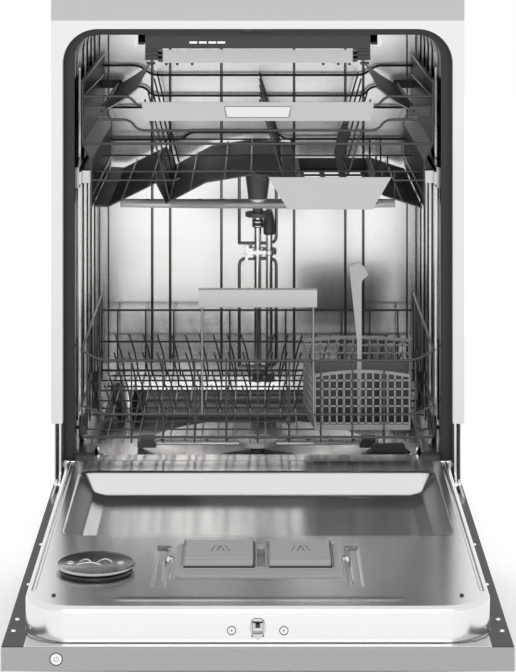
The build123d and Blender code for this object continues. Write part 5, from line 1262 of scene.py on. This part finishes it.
class DISHWASHER_OT_stage(bpy.types.Operator):
    """Set up the pale floor, the soft lights and the camera"""
    bl_idname = "dishwasher.stage"
    bl_label = "Stage"

    def execute(self, context):
        look = context.scene.dishwasher_stage
        half = look.floor_size / 2
        floor = as_object("floor", [(-half, -half, 0), (half, -half, 0), (half, half, 0), (-half, half, 0)],
                          [[0, 1, 2, 3]], smooth=False)
        floor.data.materials.append(new_material("floor_paint", (0.97, 0.97, 0.97), 0.0, 0.7,
                                                 Emission_Color=(1, 1, 1, 1), Emission_Strength=0.12))
        world = bpy.data.worlds.new("sky")
        world.use_nodes = True
        world.node_tree.nodes["Background"].inputs["Color"].default_value = (1, 1, 1, 1)
        world.node_tree.nodes["Background"].inputs["Strength"].default_value = look.sky
        context.scene.world = world
        soft_light("front_light", (0, -4.4, 1.5), (0, 0.3, 0.55), (3.2, 2.0), look.front_power)
        camera = bpy.data.cameras.new("camera")
        camera.sensor_fit = "HORIZONTAL"
        camera.sensor_width = SENSOR
        camera.lens = FOCAL_PX * SENSOR / PHOTO_WIDTH
        camera.shift_x = (PHOTO_WIDTH / 2 - MIDDLE_PX) / PHOTO_WIDTH
        camera.shift_y = (HORIZON_PX - PHOTO_HEIGHT / 2) / PHOTO_WIDTH
        camera.clip_end = 50.0
        holder = bpy.data.objects.new("camera", camera)
        holder.location = at([(0, -CAMERA_AWAY, CAMERA_HEIGHT)])[0]
        holder.rotation_euler = (math.pi / 2, 0, 0)
        context.scene.collection.objects.link(holder)
        context.scene.camera = holder
        context.scene.view_settings.view_transform = "Standard"
        return {"FINISHED"}


def soft_light(name, place, target, size, power):
    """A rectangular light that faces its target."""
    lamp = bpy.data.lights.new(name, "AREA")
    lamp.shape = "RECTANGLE"
    lamp.size, lamp.size_y = size
    lamp.energy = power
    holder = bpy.data.objects.new(name, lamp)
    holder.location = place
    aim = mathutils.Vector(target) - mathutils.Vector(place)
    holder.rotation_euler = aim.to_track_quat("-Z", "Y").to_euler()
    bpy.context.scene.collection.objects.link(holder)
    return holder


class DISHWASHER_PT_panel(bpy.types.Panel):
    """Lists the sizes and the steps"""
    bl_idname = "DISHWASHER_PT_panel"
    bl_label = "Dishwasher"
    bl_space_type = "VIEW_3D"
    bl_region_type = "UI"
    bl_category = "Dishwasher"

    def draw(self, context):
        for name in GROUP_CLASSES:
            group = getattr(context.scene, name)
            for key in group.__annotations__:
                self.layout.prop(group, key)
        for operator in OPERATORS:
            self.layout.operator(operator.bl_idname)


GROUP_CLASSES = {
    "dishwasher_cabinet": CabinetLook,
    "dishwasher_rack": RackLook,
    "dishwasher_stage": StageLook,
}
OPERATORS = (
    DISHWASHER_OT_finishes,
    DISHWASHER_OT_tub,
    DISHWASHER_OT_upper_rack,
    DISHWASHER_OT_lower_rack,
    DISHWASHER_OT_door,
    DISHWASHER_OT_trim,
    DISHWASHER_OT_stage,
)


def register():
    for name, group in GROUP_CLASSES.items():
        bpy.utils.register_class(group)
        setattr(bpy.types.Scene, name, PointerProperty(type=group))
    for operator in OPERATORS:
        bpy.utils.register_class(operator)
    bpy.utils.register_class(DISHWASHER_PT_panel)


def unregister():
    bpy.utils.unregister_class(DISHWASHER_PT_panel)
    for operator in reversed(OPERATORS):
        bpy.utils.unregister_class(operator)
    for name, group in reversed(GROUP_CLASSES.items()):
        delattr(bpy.types.Scene, name)
        bpy.utils.unregister_class(group)


def main():
    register()
    for operator in OPERATORS:
        module, step = operator.bl_idname.split(".")
        getattr(getattr(bpy.ops, module), step)()


if __name__ == "__main__":
    main()
